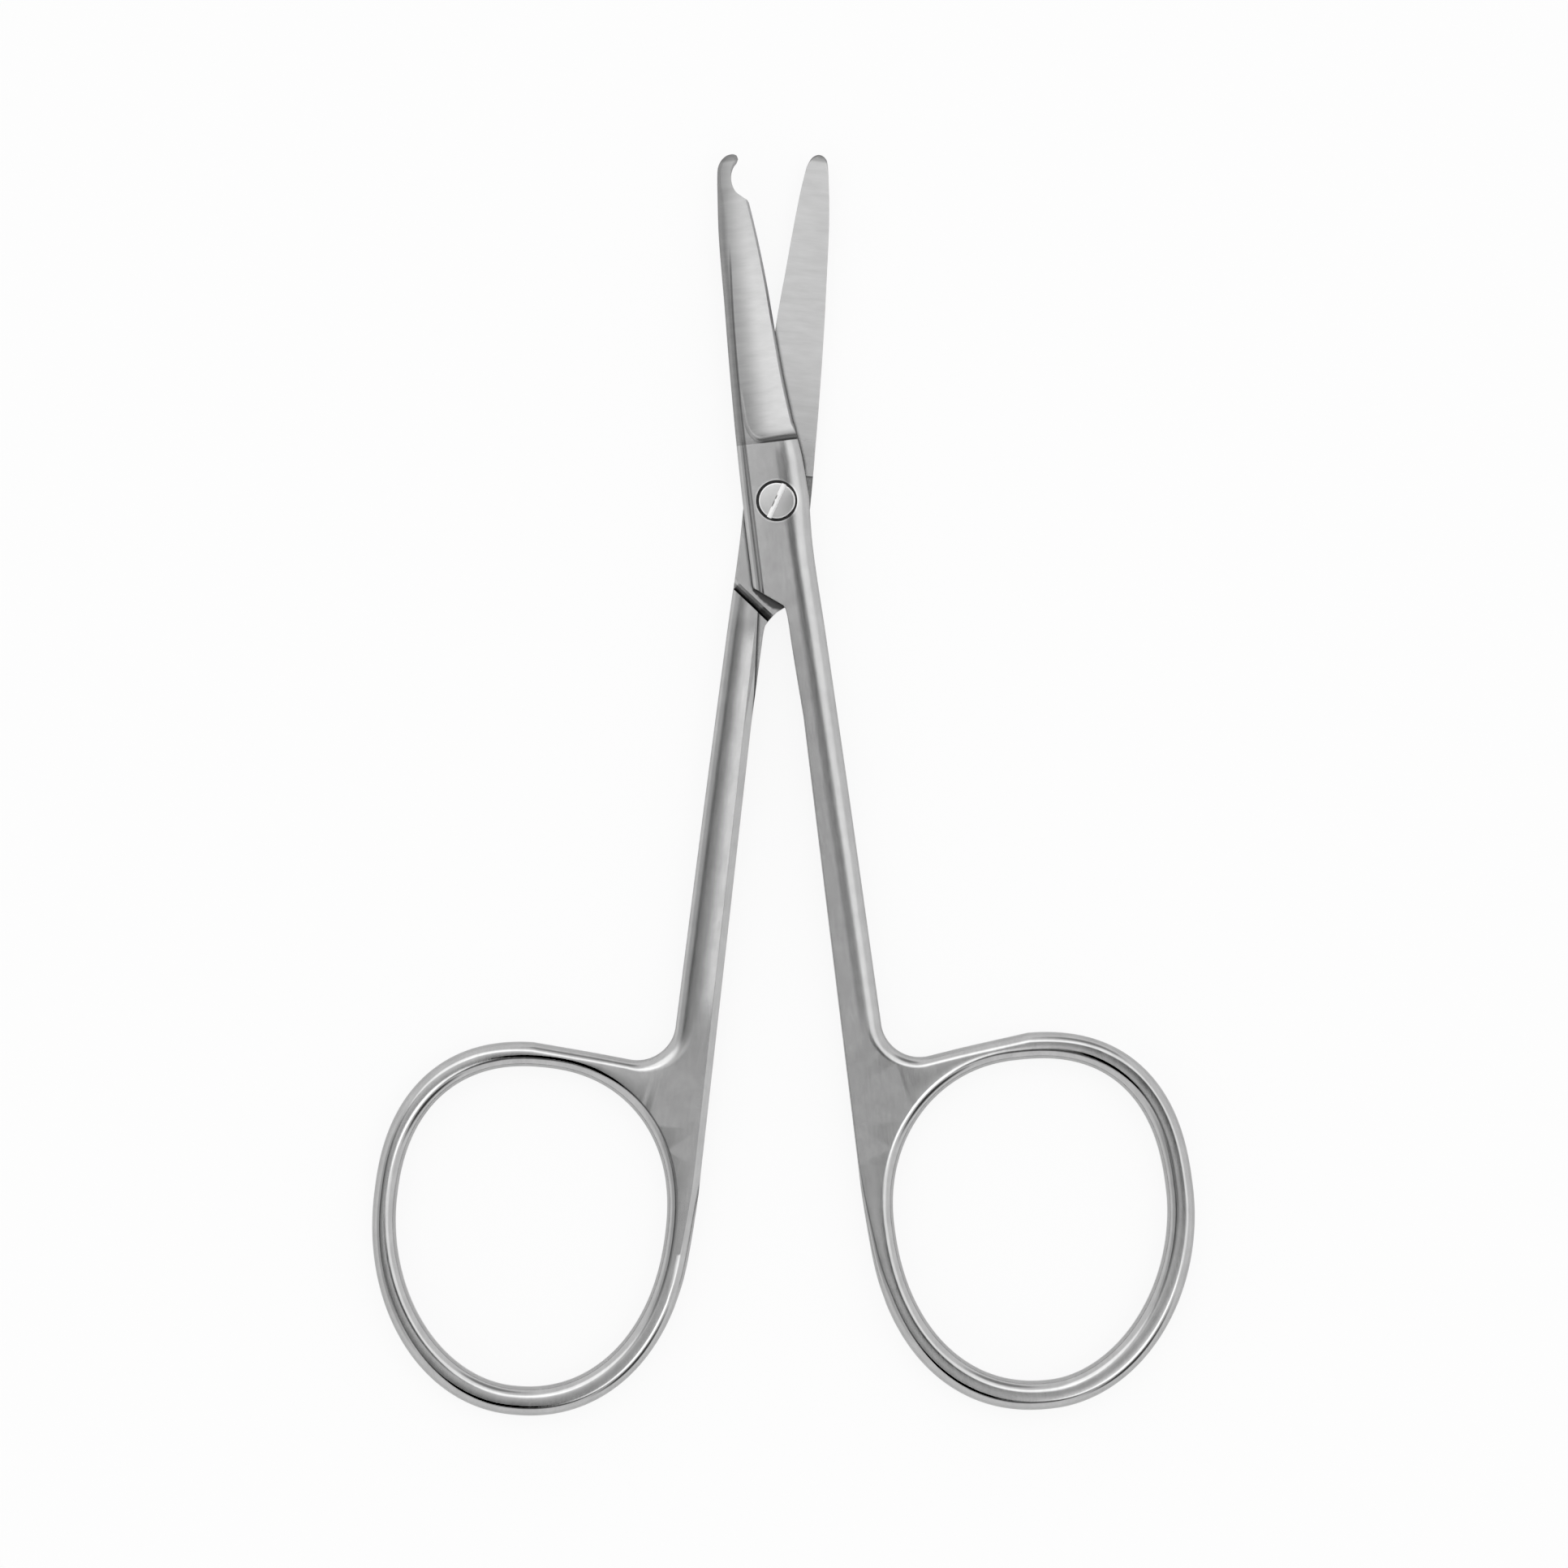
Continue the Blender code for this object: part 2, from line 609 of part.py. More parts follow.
def groove_cutter(half, collection):
    """A V along the foot of the shoulder, which the corner of the other lap swings over."""
    wall = half.shoulder_reach
    section = [(0.0, -GROOVE_DEPTH), (0.0, GROOVE_DEPTH), (GROOVE_WIDTH, 0.0),
               (GROOVE_WIDTH, -GROOVE_DEPTH)]
    bm = bmesh.new()
    start = Vector((*shoulder_point(-OUTSIDE, wall), 0))
    end = Vector((*shoulder_point(OUTSIDE, wall), 0))
    across = Vector((-math.sin(LAP_ANGLE), math.cos(LAP_ANGLE), 0))
    side = bm.faces.new([bm.verts.new(start + across * a + Vector((0, 0, z))) for a, z in section])
    moved = bmesh.ops.extrude_face_region(bm, geom=[side])["geom"]
    bmesh.ops.translate(bm, verts=[item for item in moved if isinstance(item, bmesh.types.BMVert)],
                        vec=end - start)
    bmesh.ops.recalc_face_normals(bm, faces=bm.faces)
    return object_from(bm, half.name + "_groove_cutter", collection)


def relief_cutter(half, collection):
    """Sinks the mating face round the screw."""
    corners = [(-OUTSIDE, RELIEF_BOTTOM), (OUTSIDE, RELIEF_BOTTOM), (OUTSIDE, RELIEF_TOP),
               (-OUTSIDE, RELIEF_TOP)]
    return prism(half.name + "_relief_cutter", corners, -OUTSIDE, RELIEF_DEPTH, collection)


def fade(value, start, end):
    """A smooth change from 1 at start to 0 at end."""
    share = min(max((value - start) / (end - start), 0.0), 1.0)
    return 1 - share * share * (3 - 2 * share)


def heel_distance(beside, above):
    """How far inside the round-cornered heel of the ground face a point is."""
    across = beside * HEEL_SQUEEZE
    if across < HEEL_CORNER and above < HEEL_CORNER:
        return HEEL_CORNER - math.hypot(HEEL_CORNER - across, HEEL_CORNER - above)
    return min(across, above)


def camber_depth(left, right, share, y):
    """Depth of the cambered outer face of the blade below the flat one, at a share of its width."""
    width = right - left
    below_tip = BLADE_LENGTH - y
    fall = width * CAMBER_FALL * (CAMBER_CREST * share + (1 - CAMBER_CREST) * share * abs(share))
    lift = fade(below_tip, CAMBER_FADE_END, CAMBER_FADE_START)
    depth = fall * (1 - lift) - CAMBER_LIFT * lift
    depth += HEEL_STEP * fade(y, HEEL_Y, HEEL_STEP_END)
    inside = heel_distance(width * share, y - HEEL_Y)
    if inside < 0 or depth <= 0:
        return min(inside, depth)
    run_out = math.sqrt(depth * (2 * HEEL_FILLET - depth))
    if inside < run_out:
        depth -= HEEL_FILLET - math.sqrt(HEEL_FILLET ** 2 - (run_out - inside) ** 2)
    return depth


def spread(start, end, steps):
    return [start + (end - start) * i / steps for i in range(steps)]


def camber_cutter(half, back, edge, collection):
    """Everything above the cambered outer face, from its heel beside the joint to the tip."""
    heel_end = HEEL_Y + HEEL_CORNER
    fade_start = BLADE_LENGTH - CAMBER_FADE_START
    rows = spread(HEEL_Y - CAMBER_MARGIN, heel_end, HEEL_ROWS) + spread(heel_end, fade_start, CAMBER_ROWS)
    rows += spread(fade_start, BLADE_LENGTH - CAMBER_FADE_END + CAMBER_MARGIN, FADE_ROWS)
    across = 1 + CAMBER_INNER_OVERLAP + CAMBER_OUTER_OVERLAP
    bm = bmesh.new()
    ground = []
    top = []
    for y in rows:
        left = crossing(back, y) + SPINE_BEVEL_WIDTH
        right = crossing(edge, y)
        shares = [-CAMBER_INNER_OVERLAP + across * (i / CAMBER_COLUMNS) ** CAMBER_CROWDING
                  for i in range(CAMBER_COLUMNS + 1)]
        line = [(left + (right - left) * share, y, face_height(y) - camber_depth(left, right, share, y))
                for share in shares]
        ground.append([bm.verts.new(co) for co in line])
        top.append([bm.verts.new((x, y, LAP_THICKNESS + OUTSIDE)) for x, y, _ in line])
    sheets = (ground, [row[::-1] for row in top])
    for sheet in sheets:
        for lower, upper in zip(sheet, sheet[1:]):
            for i in range(CAMBER_COLUMNS):
                bm.faces.new((lower[i], lower[i + 1], upper[i + 1], upper[i]))
    rim_ground = ground[0] + [row[-1] for row in ground[1:-1]] + ground[-1][::-1]
    rim_top = top[0] + [row[-1] for row in top[1:-1]] + top[-1][::-1]
    rim_ground += [row[0] for row in ground[-2:0:-1]]
    rim_top += [row[0] for row in top[-2:0:-1]]
    for i in range(len(rim_ground)):
        bm.faces.new((rim_ground[i - 1], rim_ground[i], rim_top[i], rim_top[i - 1]))
    bmesh.ops.triangulate(bm, faces=bm.faces)
    bmesh.ops.recalc_face_normals(bm, faces=bm.faces)
    return object_from(bm, half.name + "_camber_cutter", collection)


def cutting_cutter(half, edge, collection):
    """The bevel along the cutting edge, lofted beside it, which runs out towards the joint."""
    middles = [(a + b) / 2 for a, b in zip(edge, edge[1:]) if a.y > CUTTING_START]
    first = middles[0] + Vector((CUTTING_RUN_OUT_WIDTH, -CUTTING_RUN_OUT))
    last = edge[-1] + (edge[-1] - middles[-1]).normalized() * CUTTING_RUN_OUT_WIDTH
    line = [first] + middles + [last]
    slope = math.tan(CUTTING_ANGLE)
    low = CUTTING_LAND * (1 - slope)
    high = LAP_THICKNESS + CUTTING_RISE
    reach = (high - CUTTING_LAND) / slope
    bm = bmesh.new()
    sections = []
    for i, point in enumerate(line):
        along = (line[min(i + 1, len(line) - 1)] - line[max(i - 1, 0)]).normalized()
        outward = Vector((along.y, -along.x))
        inner_low = point + outward * CUTTING_LAND
        inner_high = point - outward * reach
        outer = point + outward * CUTTING_RUN_OUT
        section = ((*inner_low, low), (*outer, low), (*outer, high), (*inner_high, high))
        sections.append([bm.verts.new(co) for co in section])
    for lower, upper in zip(sections, sections[1:]):
        for i in range(4):
            j = (i + 1) % 4
            bm.faces.new((lower[i], lower[j], upper[j], upper[i]))
    bm.faces.new(sections[0])
    bm.faces.new(sections[-1])
    bmesh.ops.triangulate(bm, faces=bm.faces)
    bmesh.ops.recalc_face_normals(bm, faces=bm.faces)
    return object_from(bm, half.name + "_cutting_cutter", collection)


def crossing(curve, y):
    """x of a curve where it passes a height."""
    for a, b in zip(curve, curve[1:]):
        if min(a.y, b.y) <= y <= max(a.y, b.y):
            return a.x + (b.x - a.x) * (y - a.y) / (b.y - a.y)
    return curve[-1].x


# The pieces

def cut_half(thing, half, back, edge, cutters):
    cut(thing, lap_cutter(half, cutters))
    cut(thing, groove_cutter(half, cutters))
    cut(thing, relief_cutter(half, cutters))
    cut(thing, camber_cutter(half, back, edge, cutters))
    cut(thing, cutting_cutter(half, edge, cutters))


def hook_half(parts, cutters, material):
    half = Half("hook_half")
    thing = half_blank(half, hook_outline(half), parts)
    cut_half(thing, half, hook_spine(half), hook_edge(), cutters)
    floor = LAP_THICKNESS - HEAD_HEIGHT - HEAD_CLEARANCE
    cut(thing, rod("hook_half_screw_hole", NECK_RADIUS + SCREW_CLEARANCE, -OUTSIDE, OUTSIDE, cutters))
    cut(thing, rod("hook_half_counterbore", HEAD_RADIUS + HEAD_GAP, floor, OUTSIDE, cutters))
    thing.location.z = LAP_THICKNESS + LAP_CLEARANCE
    thing.rotation_euler = (0, 0, HOOK_HALF_ANGLE)
    thing.data.materials.append(material)
    return thing


def plain_half(parts, cutters, material):
    half = Half("plain_half")
    thing = half_blank(half, plain_outline(half), parts)
    cut_half(thing, half, plain_spine(half), plain_edge(), cutters)
    cut(thing, rod("plain_half_screw_hole", THREAD_RADIUS + SCREW_CLEARANCE, -OUTSIDE, OUTSIDE, cutters))
    thing.location.z = LAP_THICKNESS
    thing.rotation_euler = (0, math.pi, -PLAIN_HALF_ANGLE)
    thing.data.materials.append(material)
    return thing


def shade(thing):
    thing.data.shade_smooth()
    thing.data.set_sharp_from_angle(angle=SMOOTH_ANGLE)


def turned(name, profile, collection):
    """A solid of revolution about Z, from its profile in the XZ plane."""
    mesh = bpy.data.meshes.new(name)
    mesh.from_pydata([(x, 0.0, z) for x, z in profile], [(i, i + 1) for i in range(len(profile) - 1)], [])
    thing = bpy.data.objects.new(name, mesh)
    collection.objects.link(thing)
    turn = thing.modifiers.new("turn", "SCREW")
    turn.steps = ROUND_SIDES
    turn.render_steps = ROUND_SIDES
    turn.use_merge_vertices = True
    turn.merge_threshold = 0.000001
    solid = thing.evaluated_get(bpy.context.evaluated_depsgraph_get())
    thing.data = bpy.data.meshes.new_from_object(solid)
    thing.modifiers.clear()
    return thing


def pivot_screw(parts, cutters, material):
    top = 2 * LAP_THICKNESS + LAP_CLEARANCE
    neck_end = LAP_THICKNESS - RELIEF_DEPTH + SCREW_CLEARANCE
    rim = HEAD_RADIUS - SCREW_EDGE
    crown = [(rim * i / CROWN_STEPS, top - HEAD_CROWN * (i / CROWN_STEPS) ** 2)
             for i in range(CROWN_STEPS + 1)]
    profile = crown + [(HEAD_RADIUS, top - HEAD_CROWN - SCREW_EDGE), (HEAD_RADIUS, top - HEAD_HEIGHT),
                       (NECK_RADIUS, top - HEAD_HEIGHT), (NECK_RADIUS, neck_end),
                       (THREAD_RADIUS, neck_end), (THREAD_RADIUS, SCREW_EDGE),
                       (THREAD_RADIUS - SCREW_EDGE, 0.0), (0.0, 0.0)]
    thing = turned("pivot_screw", profile, parts)
    slot = prism("pivot_screw_slot",
                 [(-SLOT_WIDTH / 2, -OUTSIDE), (SLOT_WIDTH / 2, -OUTSIDE), (SLOT_WIDTH / 2, OUTSIDE),
                  (-SLOT_WIDTH / 2, OUTSIDE)], top - SLOT_DEPTH, top + OUTSIDE, cutters)
    slot.rotation_euler.z = SLOT_ANGLE
    cut(thing, slot)
    thing.data.materials.append(material)
    return thing


def build():
    clear_scene()
    parts = new_collection("suture_scissors")
    cutters = new_collection("cutters")
    satin_steel = steel("satin_steel", STEEL_COLOUR, STEEL_ROUGHNESS)
    screw_steel = steel("screw_steel", SCREW_COLOUR, SCREW_ROUGHNESS)
    shade(plain_half(parts, cutters, satin_steel))
    shade(hook_half(parts, cutters, satin_steel))
    shade(pivot_screw(parts, cutters, screw_steel))


build()
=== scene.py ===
# Looks of the stitch scissors: finely shaped halves and screw in brushed steel, and a plain studio.
#
# The halves and the screw are made again here with finer facets and take the place
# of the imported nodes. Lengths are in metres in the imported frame: +Y points to the
# blade tips and +Z up from the surface that the scissors lie on. Each half is
# modelled closed and face up, with its mating plane at z = 0, and then turned to
# its place.
import math

import bmesh
import bpy
from mathutils import Euler, Matrix, Vector
from mathutils.geometry import interpolate_bezier


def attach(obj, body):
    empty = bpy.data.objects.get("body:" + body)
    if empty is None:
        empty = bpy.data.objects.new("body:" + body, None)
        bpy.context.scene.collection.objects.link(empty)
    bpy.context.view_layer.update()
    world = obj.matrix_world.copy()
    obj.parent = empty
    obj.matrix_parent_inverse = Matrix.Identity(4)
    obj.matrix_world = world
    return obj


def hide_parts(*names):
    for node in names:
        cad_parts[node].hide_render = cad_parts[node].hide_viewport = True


# Opening angle of each half from the closed position
HOOK_HALF_ANGLE = math.radians(6.95)
PLAIN_HALF_ANGLE = math.radians(6.40)

# Lapped joint
LAP_THICKNESS = 0.0016
LAP_CLEARANCE = 0.00005
JOINT_SPINE = 0.00237
JOINT_EDGE = 0.00227
HOOK_LAP_REACH = 0.00608
PLAIN_LAP_REACH = 0.00665
LAP_ANGLE = math.radians(37.0)
SHOULDER_CLEARANCE = 0.00047
GROOVE_WIDTH = 0.0006
GROOVE_DEPTH = 0.00028
RELIEF_TOP = 0.0020
RELIEF_BOTTOM = -0.0010
RELIEF_DEPTH = 0.00015

# Screw
HEAD_RADIUS = 0.00129
HEAD_HEIGHT = 0.0007
HEAD_CROWN = 0.00002
HEAD_GAP = 0.00015
HEAD_CLEARANCE = 0.00004
NECK_RADIUS = 0.0009
THREAD_RADIUS = 0.0008
SCREW_CLEARANCE = 0.00003
SCREW_EDGE = 0.00006
SLOT_WIDTH = 0.00034
SLOT_DEPTH = 0.00034
SLOT_ANGLE = math.radians(-24.3)

# Blades
BLADE_LENGTH = 0.02443
BLADE_TIP_THICKNESS = 0.0009
BLADE_TAPER_START = 0.0045
BLADE_INNER_START = 0.0030
BLADE_INNER_SET = 0.00001
SPINE_BEVEL_WIDTH = 0.00066
SPINE_BEVEL_DROP = 0.00045
SPINE_BEVEL_FADE = 0.0045
TIP_ROUND = 0.00025
TIP_ROUND_DROP = 0.00032
TIP_ROUNDNESS = 0.6
CAMBER_FALL = 0.155
CAMBER_CREST = 0.3
CAMBER_FADE_START = 0.0034
CAMBER_FADE_END = 0.0014
HEEL_Y = 0.0041
HEEL_CORNER = 0.0019
HEEL_SQUEEZE = 1.6
HEEL_FILLET = 0.0006
HEEL_STEP = 0.00018
HEEL_STEP_END = 0.0085
CAMBER_LIFT = 0.00004
CAMBER_MARGIN = 0.0005
CAMBER_INNER_OVERLAP = 0.12
CAMBER_OUTER_OVERLAP = 0.24
CAMBER_CROWDING = 1.5
CUTTING_ANGLE = math.radians(78.0)
CUTTING_START = 0.0050
CUTTING_RUN_OUT = 0.0018
CUTTING_RUN_OUT_WIDTH = 0.0006
CUTTING_LAND = 0.00004
CUTTING_RISE = 0.0003

# Ends of the blades: x, and the distance below the tip
MOUTH_CORNER = (0.00060, 0.00348)
HOOK_MOUTH = ((0.00053, 0.00333), (0.00016, 0.00303), (-0.00024, 0.00263), (-0.00043, 0.00203),
              (-0.00040, 0.00143), (-0.00018, 0.00093), (0.00008, 0.00065))
HOOK_NOSE = ((0.00021, 0.00039), (0.00012, 0.00012), (-0.00019, 0.0), (-0.00064, 0.00010),
             (-0.00105, 0.00045), (-0.00129, 0.00093), (-0.00145, 0.00200))
PLAIN_NOSE = ((0.00054, 0.00100), (0.00038, 0.00056), (0.00015, 0.00020), (-0.00021, 0.0),
              (-0.00058, 0.00010), (-0.00085, 0.00042), (-0.00107, 0.00143))

# Sides of the blades between their ends and the joint: shares of the way across and along
HOOK_EDGE_SHAPE = ((0.084, 0.139), (0.245, 0.236), (0.443, 0.399), (0.557, 0.549), (0.659, 0.716),
                   (0.772, 0.835), (0.886, 0.926))
PLAIN_EDGE_SHAPE = ((0.084, 0.123), (0.245, 0.210), (0.430, 0.383), (0.503, 0.545), (0.640, 0.694),
                    (0.735, 0.802), (0.872, 0.926))
HOOK_SPINE_SHAPE = ((0.36, 0.16), (0.565, 0.373), (0.76, 0.563), (0.92, 0.778))
PLAIN_SPINE_SHAPE = ((0.20, 0.083), (0.35, 0.167), (0.52, 0.315), (0.68, 0.463), (0.80, 0.612),
                     (0.90, 0.772))

# Shanks
SHANK_INNER_X = 0.00004
HOOK_WAIST = 0.00212
PLAIN_WAIST = 0.00226
WAIST_Y = -0.0036
HOOK_NECK_WIDTH = 0.00223
PLAIN_NECK_WIDTH = 0.00238
SHANK_NECK_Y = -0.0095
HOOK_ROOT_WIDTH = 0.00274
PLAIN_ROOT_WIDTH = 0.00284
SHANK_TAPER_START = -0.0085
OUTER_SIDE_SHAPE = ((0.5, 0.45),)
SHANK_SHOULDER_WIDTH = 0.00115
SHANK_SHOULDER_DROP = 0.0006
JOINT_SHOULDER_WIDTH = 0.0017
JOINT_SHOULDER_DROP = 0.00065
SHANK_CROWN_WIDTH = 0.0015
SHANK_CROWN_DROP = 0.0005
INNER_BEVEL_WIDTH = 0.00045
INNER_BEVEL_DROP = 0.00035
INNER_ROUND = 0.0001
BREAK_EDGE = 0.00004
KEEN_EDGE = 0.000008

# Crotch, below the end of the lap: x, and the distance below that end
HOOK_CROTCH = ((-0.00045, 0.0), (-0.00030, 0.00016), (-0.00022, 0.00085), (-0.00018, 0.0024),
               (-0.00008, 0.0050))
PLAIN_CROTCH = ((-0.00090, 0.0), (-0.00060, 0.00013), (-0.00032, 0.00033), (-0.00014, 0.00060),
                (-0.00008, 0.00175))
CROTCH_LENGTH = 0.0075
CROTCH_STRIP_WIDTH = 0.00045
CROTCH_STRIP_LENGTH = 0.0070

# Finger rings
RING_THICKNESS = 0.0020
RING_SET_BACK = 0.00014
HOOK_RING_Y = -0.05114
PLAIN_RING_Y = -0.05137
HOOK_OPENING_SIDE = 0.00958
PLAIN_OPENING_SIDE = 0.00946
HOOK_OPENING_TOP = 0.01036
PLAIN_OPENING_TOP = 0.01025
OPENING_BOTTOM = 0.01212
BAND_INNER = 0.00186
BAND_BOTTOM = 0.00199
HOOK_BAND_OUTER = 0.00188
HOOK_BAND_TOP = 0.00181
PLAIN_BAND_OUTER = 0.00160
PLAIN_BAND_TOP = 0.00168
RING_OUTER_ROUND = 0.00070
RING_OUTER_DROP = 0.00070
RING_OPENING_ROUND = 0.00082
RING_OPENING_DROP = 0.00070
INNER_FACE_END = 0.00460
RING_ENTRY_Y = 0.00226
RING_ENTRY_ANGLES = (186, 193)
BAND_ANGLES = (200, 446)
BRIDGE_SHAPE = ((0.45, 0.40),)
ROOT_FILLET_ANGLES = (276, 184)
ROOT_FILLET_RADIUS = 0.00272
HOOK_ROOT_DIP = 0.00082
PLAIN_ROOT_DIP = 0.00049

# How square each quarter of a ring is, from upper right counter-clockwise: 2 is an ellipse
HOOK_OPENING_SQUARENESS = (2.47, 2.06, 2.20, 1.88)
HOOK_OUTER_SQUARENESS = (2.47, 2.01, 2.24, 1.96)
PLAIN_OPENING_SQUARENESS = (2.33, 2.18, 2.18, 1.95)
PLAIN_OUTER_SQUARENESS = (2.39, 2.40, 2.20, 2.03)

# Facets
RING_STEPS = 220
CURVE_STEPS = 14
TIP_STEPS = 8
SHANK_STEPS = 12
EDGE_STEPS = 12
ROUND_SIDES = 160
CAMBER_COLUMNS = 44
HEEL_ROWS = 44
CAMBER_ROWS = 60
FADE_ROWS = 40
FILLET_STEPS = 32
CROWN_STEPS = 12

# Sine of the turn from which an outline point counts as a corner
SHARP_TURN = 0.17

# Shading: the turn between two facets up to which they are one smooth face, the upright part
# of a normal from which a facet is flat, and how much the larger faces lead
SMOOTH_ANGLE = math.radians(16.0)
FLAT_NORMAL = 0.99999
LARGE_FACE_WEIGHT = 90

# A length that is well outside a half, for cutters
OUTSIDE = 0.008

# Distance below which two points are one
MERGE_DISTANCE = 0.000001

# The worn floor of the screw's slot leans
SLOT_LEAN = math.radians(9.0)

# Steel: grey and roughness, and where along a half the ground blade and the ring begin
STEEL_COLOUR = 0.48
SCREW_COLOUR = 0.60
STEEL_ROUGHNESS = 0.20
GROUND_ROUGHNESS = 0.31
RING_ROUGHNESS = 0.14
SCREW_ROUGHNESS = 0.18
BLADE_START = (0.0036, 0.0050)
RING_START = (-0.036, -0.041)

# Grain and mottle: how wide and how long their streaks are, and how many finer layers they have
SHANK_COARSE = (0.00016, 0.0016, 3.0)
BLADE_COARSE = (0.00016, 0.0014, 3.0)
SHANK_FINE = (0.00003, 0.0009, 3.0)
BLADE_FINE = (0.00003, 0.0007, 3.0)
SHANK_MOTTLE = (0.0012, 0.0016, 2.0)
BLADE_MOTTLE = (0.0005, 0.0025, 2.0)
SCREW_RINGS = (0.00003, 0.0005, 3.0)
SCREW_MOTTLE = (0.0005, 0.0005, 2.0)
SLOT_MOTTLE = (0.0005, 0.0005, 1.0)
# Patches of the stain and painted shade in the relief, and the ragged edge of the painted lap shadow
STAIN_AND_SHADE_MOTTLE = (0.0003, 0.0003, 2.0)
LAP_SHADOW_MOTTLE = (0.00025, 0.00025, 3.0)
LAYER_STRENGTH = 0.6

# How strongly grain and mottle show in the grey, in the roughness and as relief
COARSE_CONTRAST = 0.07
MOTTLE_CONTRAST = 0.13
FINE_CONTRAST = 0.02
SCREW_CONTRAST = 0.08
COARSE_ROUGHNESS = 0.03
FINE_ROUGHNESS = 0.04
GRAIN_RELIEF = 0.0000005
SCREW_RELIEF = 0.0000003

# Painted shade, and dirt, in corners and gaps: how far a corner reaches, how open it is where
# the darkening starts and ends, and its grey
CREVICE_REACH = 0.00035
CREVICE_SAMPLES = 8
CREVICE_OPEN = 0.92
CREVICE_DARK = 0.55
DIRT_AND_SHADE_GREY = 0.05

# Painted light and shade on the steel, in each half's own coordinates. A shade is how far a painted mark
# takes the grey down, or up as painted light if negative. A pair says where a mark starts to show and
# where it shows in full.
OUTER_FACE = (LAP_THICKNESS + 0.0005, LAP_THICKNESS + 0.0006)
# Hook half: painted light and shade on the ground face, heel, neck, bevel, shoulder and counterbore
HEEL_SHADE = 0.82
HEEL_SHADE_END = 0.0010
HEEL_SHADE_X = (-0.0013, -0.0003)
LIT_GROUND_SHADE = -0.13
GROUND_SHADE = 0.42
GROUND_SHADE_X = (0.0003, -0.0015)
NECK_SHADE = 0.10
NECK_SHADE_Y = (BLADE_LENGTH - CAMBER_FADE_START, BLADE_LENGTH - CAMBER_FADE_END)
BEVEL_LINE_SHADE = 0.55
BEVEL_LINE_WIDTH = 0.00010
BEVEL_LINE_BEND = 3.1
BEVEL_LINE_Y = (0.0185, 0.0160)
SHOULDER_LINE_SHADE = 0.34
SHOULDER_LINE_WIDTH = 0.00042
SHOULDER_LINE_X = 0.00066
SHOULDER_LINE_SLOPE = -0.0258
SHOULDER_LINE_TOP = (0.0040, 0.0030)
SHOULDER_LINE_BOTTOM = (-0.0390, -0.0350)
# Painted highlight round the counterbore
BORE_RIM_HIGHLIGHT = -0.35
BORE_HIGHLIGHT_WIDTH = 0.00016
# Plain half: painted light along the shank and over the blade
LIT_SHANK_SHADE = -0.80
LIT_SHANK_LEFT = (-0.0016, -0.0007)
LIT_SHANK_RIGHT = (-0.00048, -0.00056)
LIT_SHANK_BOTTOM = (-0.0375, -0.0340)
LIT_SHANK_TOP = (-0.0085, -0.0105)
LIT_BLADE_SHADE = -0.18
LIT_BLADE_Y = (0.0040, 0.0120)
# Painted shade, with patchy stain, in the sunk relief round the screw
RELIEF_SHADE = 0.62
RELIEF_PATCHES = (-0.6, 0.4, 0.6, 1.0)
# Painted shadow of the other lap's end on this lap
LAP_SHADOW_DARKNESS = 0.82
LAP_SHADOW_MIDDLE = -0.00135
LAP_SHADOW_SPAN = 0.0010
LAP_SHADOW_WIDTH = 0.0002
LAP_SHADOW_BULGE = 0.00036
LAP_SHADOW_RAGGED = 0.00012
LAP_SHADOW_FADE = (1.15, 0.75)
LAP_SHADOW_START = (-0.0004, -0.0002)
LAP_SHADOW_X = (-JOINT_SPINE - 0.0001, -JOINT_SPINE)
# Painted shade over the round tips of the blades
CAP_SHADE = 0.36
CAP_REACH = 0.00036

# Duller steel towards the end of the hooked blade
HOOK_SOFTNESS = 0.16
HOOK_SOFT_Y = (BLADE_LENGTH - 3.4 * CAMBER_FADE_START, BLADE_LENGTH - 0.8 * CAMBER_FADE_START)

# Screw head: painted highlight round the rim, and a slot floor bright from wear and a painted
# highlight, with patchy painted shadow along one side
WEAR_AND_HIGHLIGHT_GREY = 0.95
SLOT_ROUGHNESS = 0.45
SLOT_SHADOW = 0.85
SLOT_SHADOW_X = (-0.2 * SLOT_WIDTH, -0.4 * SLOT_WIDTH)
SLOT_PATCHES = (0.0, 0.25)
HEAD_HIGHLIGHT_WIDTH = 0.00012

# Light: the dome's level, and its soft boxes and dark cards. For each, where its middle is,
# in degrees from straight up and counter-clockwise from +X, how many degrees from there it
# stays full and where it ends, and how much light it adds, or takes away if negative.
WORLD_LEVEL = 0.97
CARDS = (
    (28.0, 5.0, 9.0, 16.0, 0.45),
    (26.0, 56.0, 8.0, 15.0, 0.50),
    (16.0, 90.0, 5.0, 12.0, 0.80),
    (27.0, 122.0, 9.0, 17.0, 0.85),
    (17.0, -50.0, 5.0, 12.0, 2.00),
    (10.0, 0.0, 5.8, 10.0, -0.96),
    (22.0, 182.0, 8.0, 14.0, -0.60),
    (42.0, 187.0, 12.0, 24.0, -0.35),
    (24.0, -90.0, 10.0, 18.0, -0.88),
    (12.0, -122.0, 5.0, 11.0, -0.70),
    (50.0, -46.0, 8.0, 18.0, -0.92),
    (56.0, 72.0, 9.0, 18.0, -0.60),
)

# Floor: half its side, how far it is below the scissors, its grey, and its share of plain
# white for the camera alone
FLOOR_REACH = 2.0
FLOOR_DROP = 0.00001
FLOOR_COLOUR = 0.93
FLOOR_WHITENESS = 0.88

# Camera: it looks straight down on the photograph's centre
LENS = 200.0
SENSOR = 36.0
IMAGE_PIXELS = 1932
PIXEL = 0.0000567
PIVOT_PIXEL = (957.0, 617.6)
FOCUS_HEIGHT = 0.002
CLIP_START = 0.01

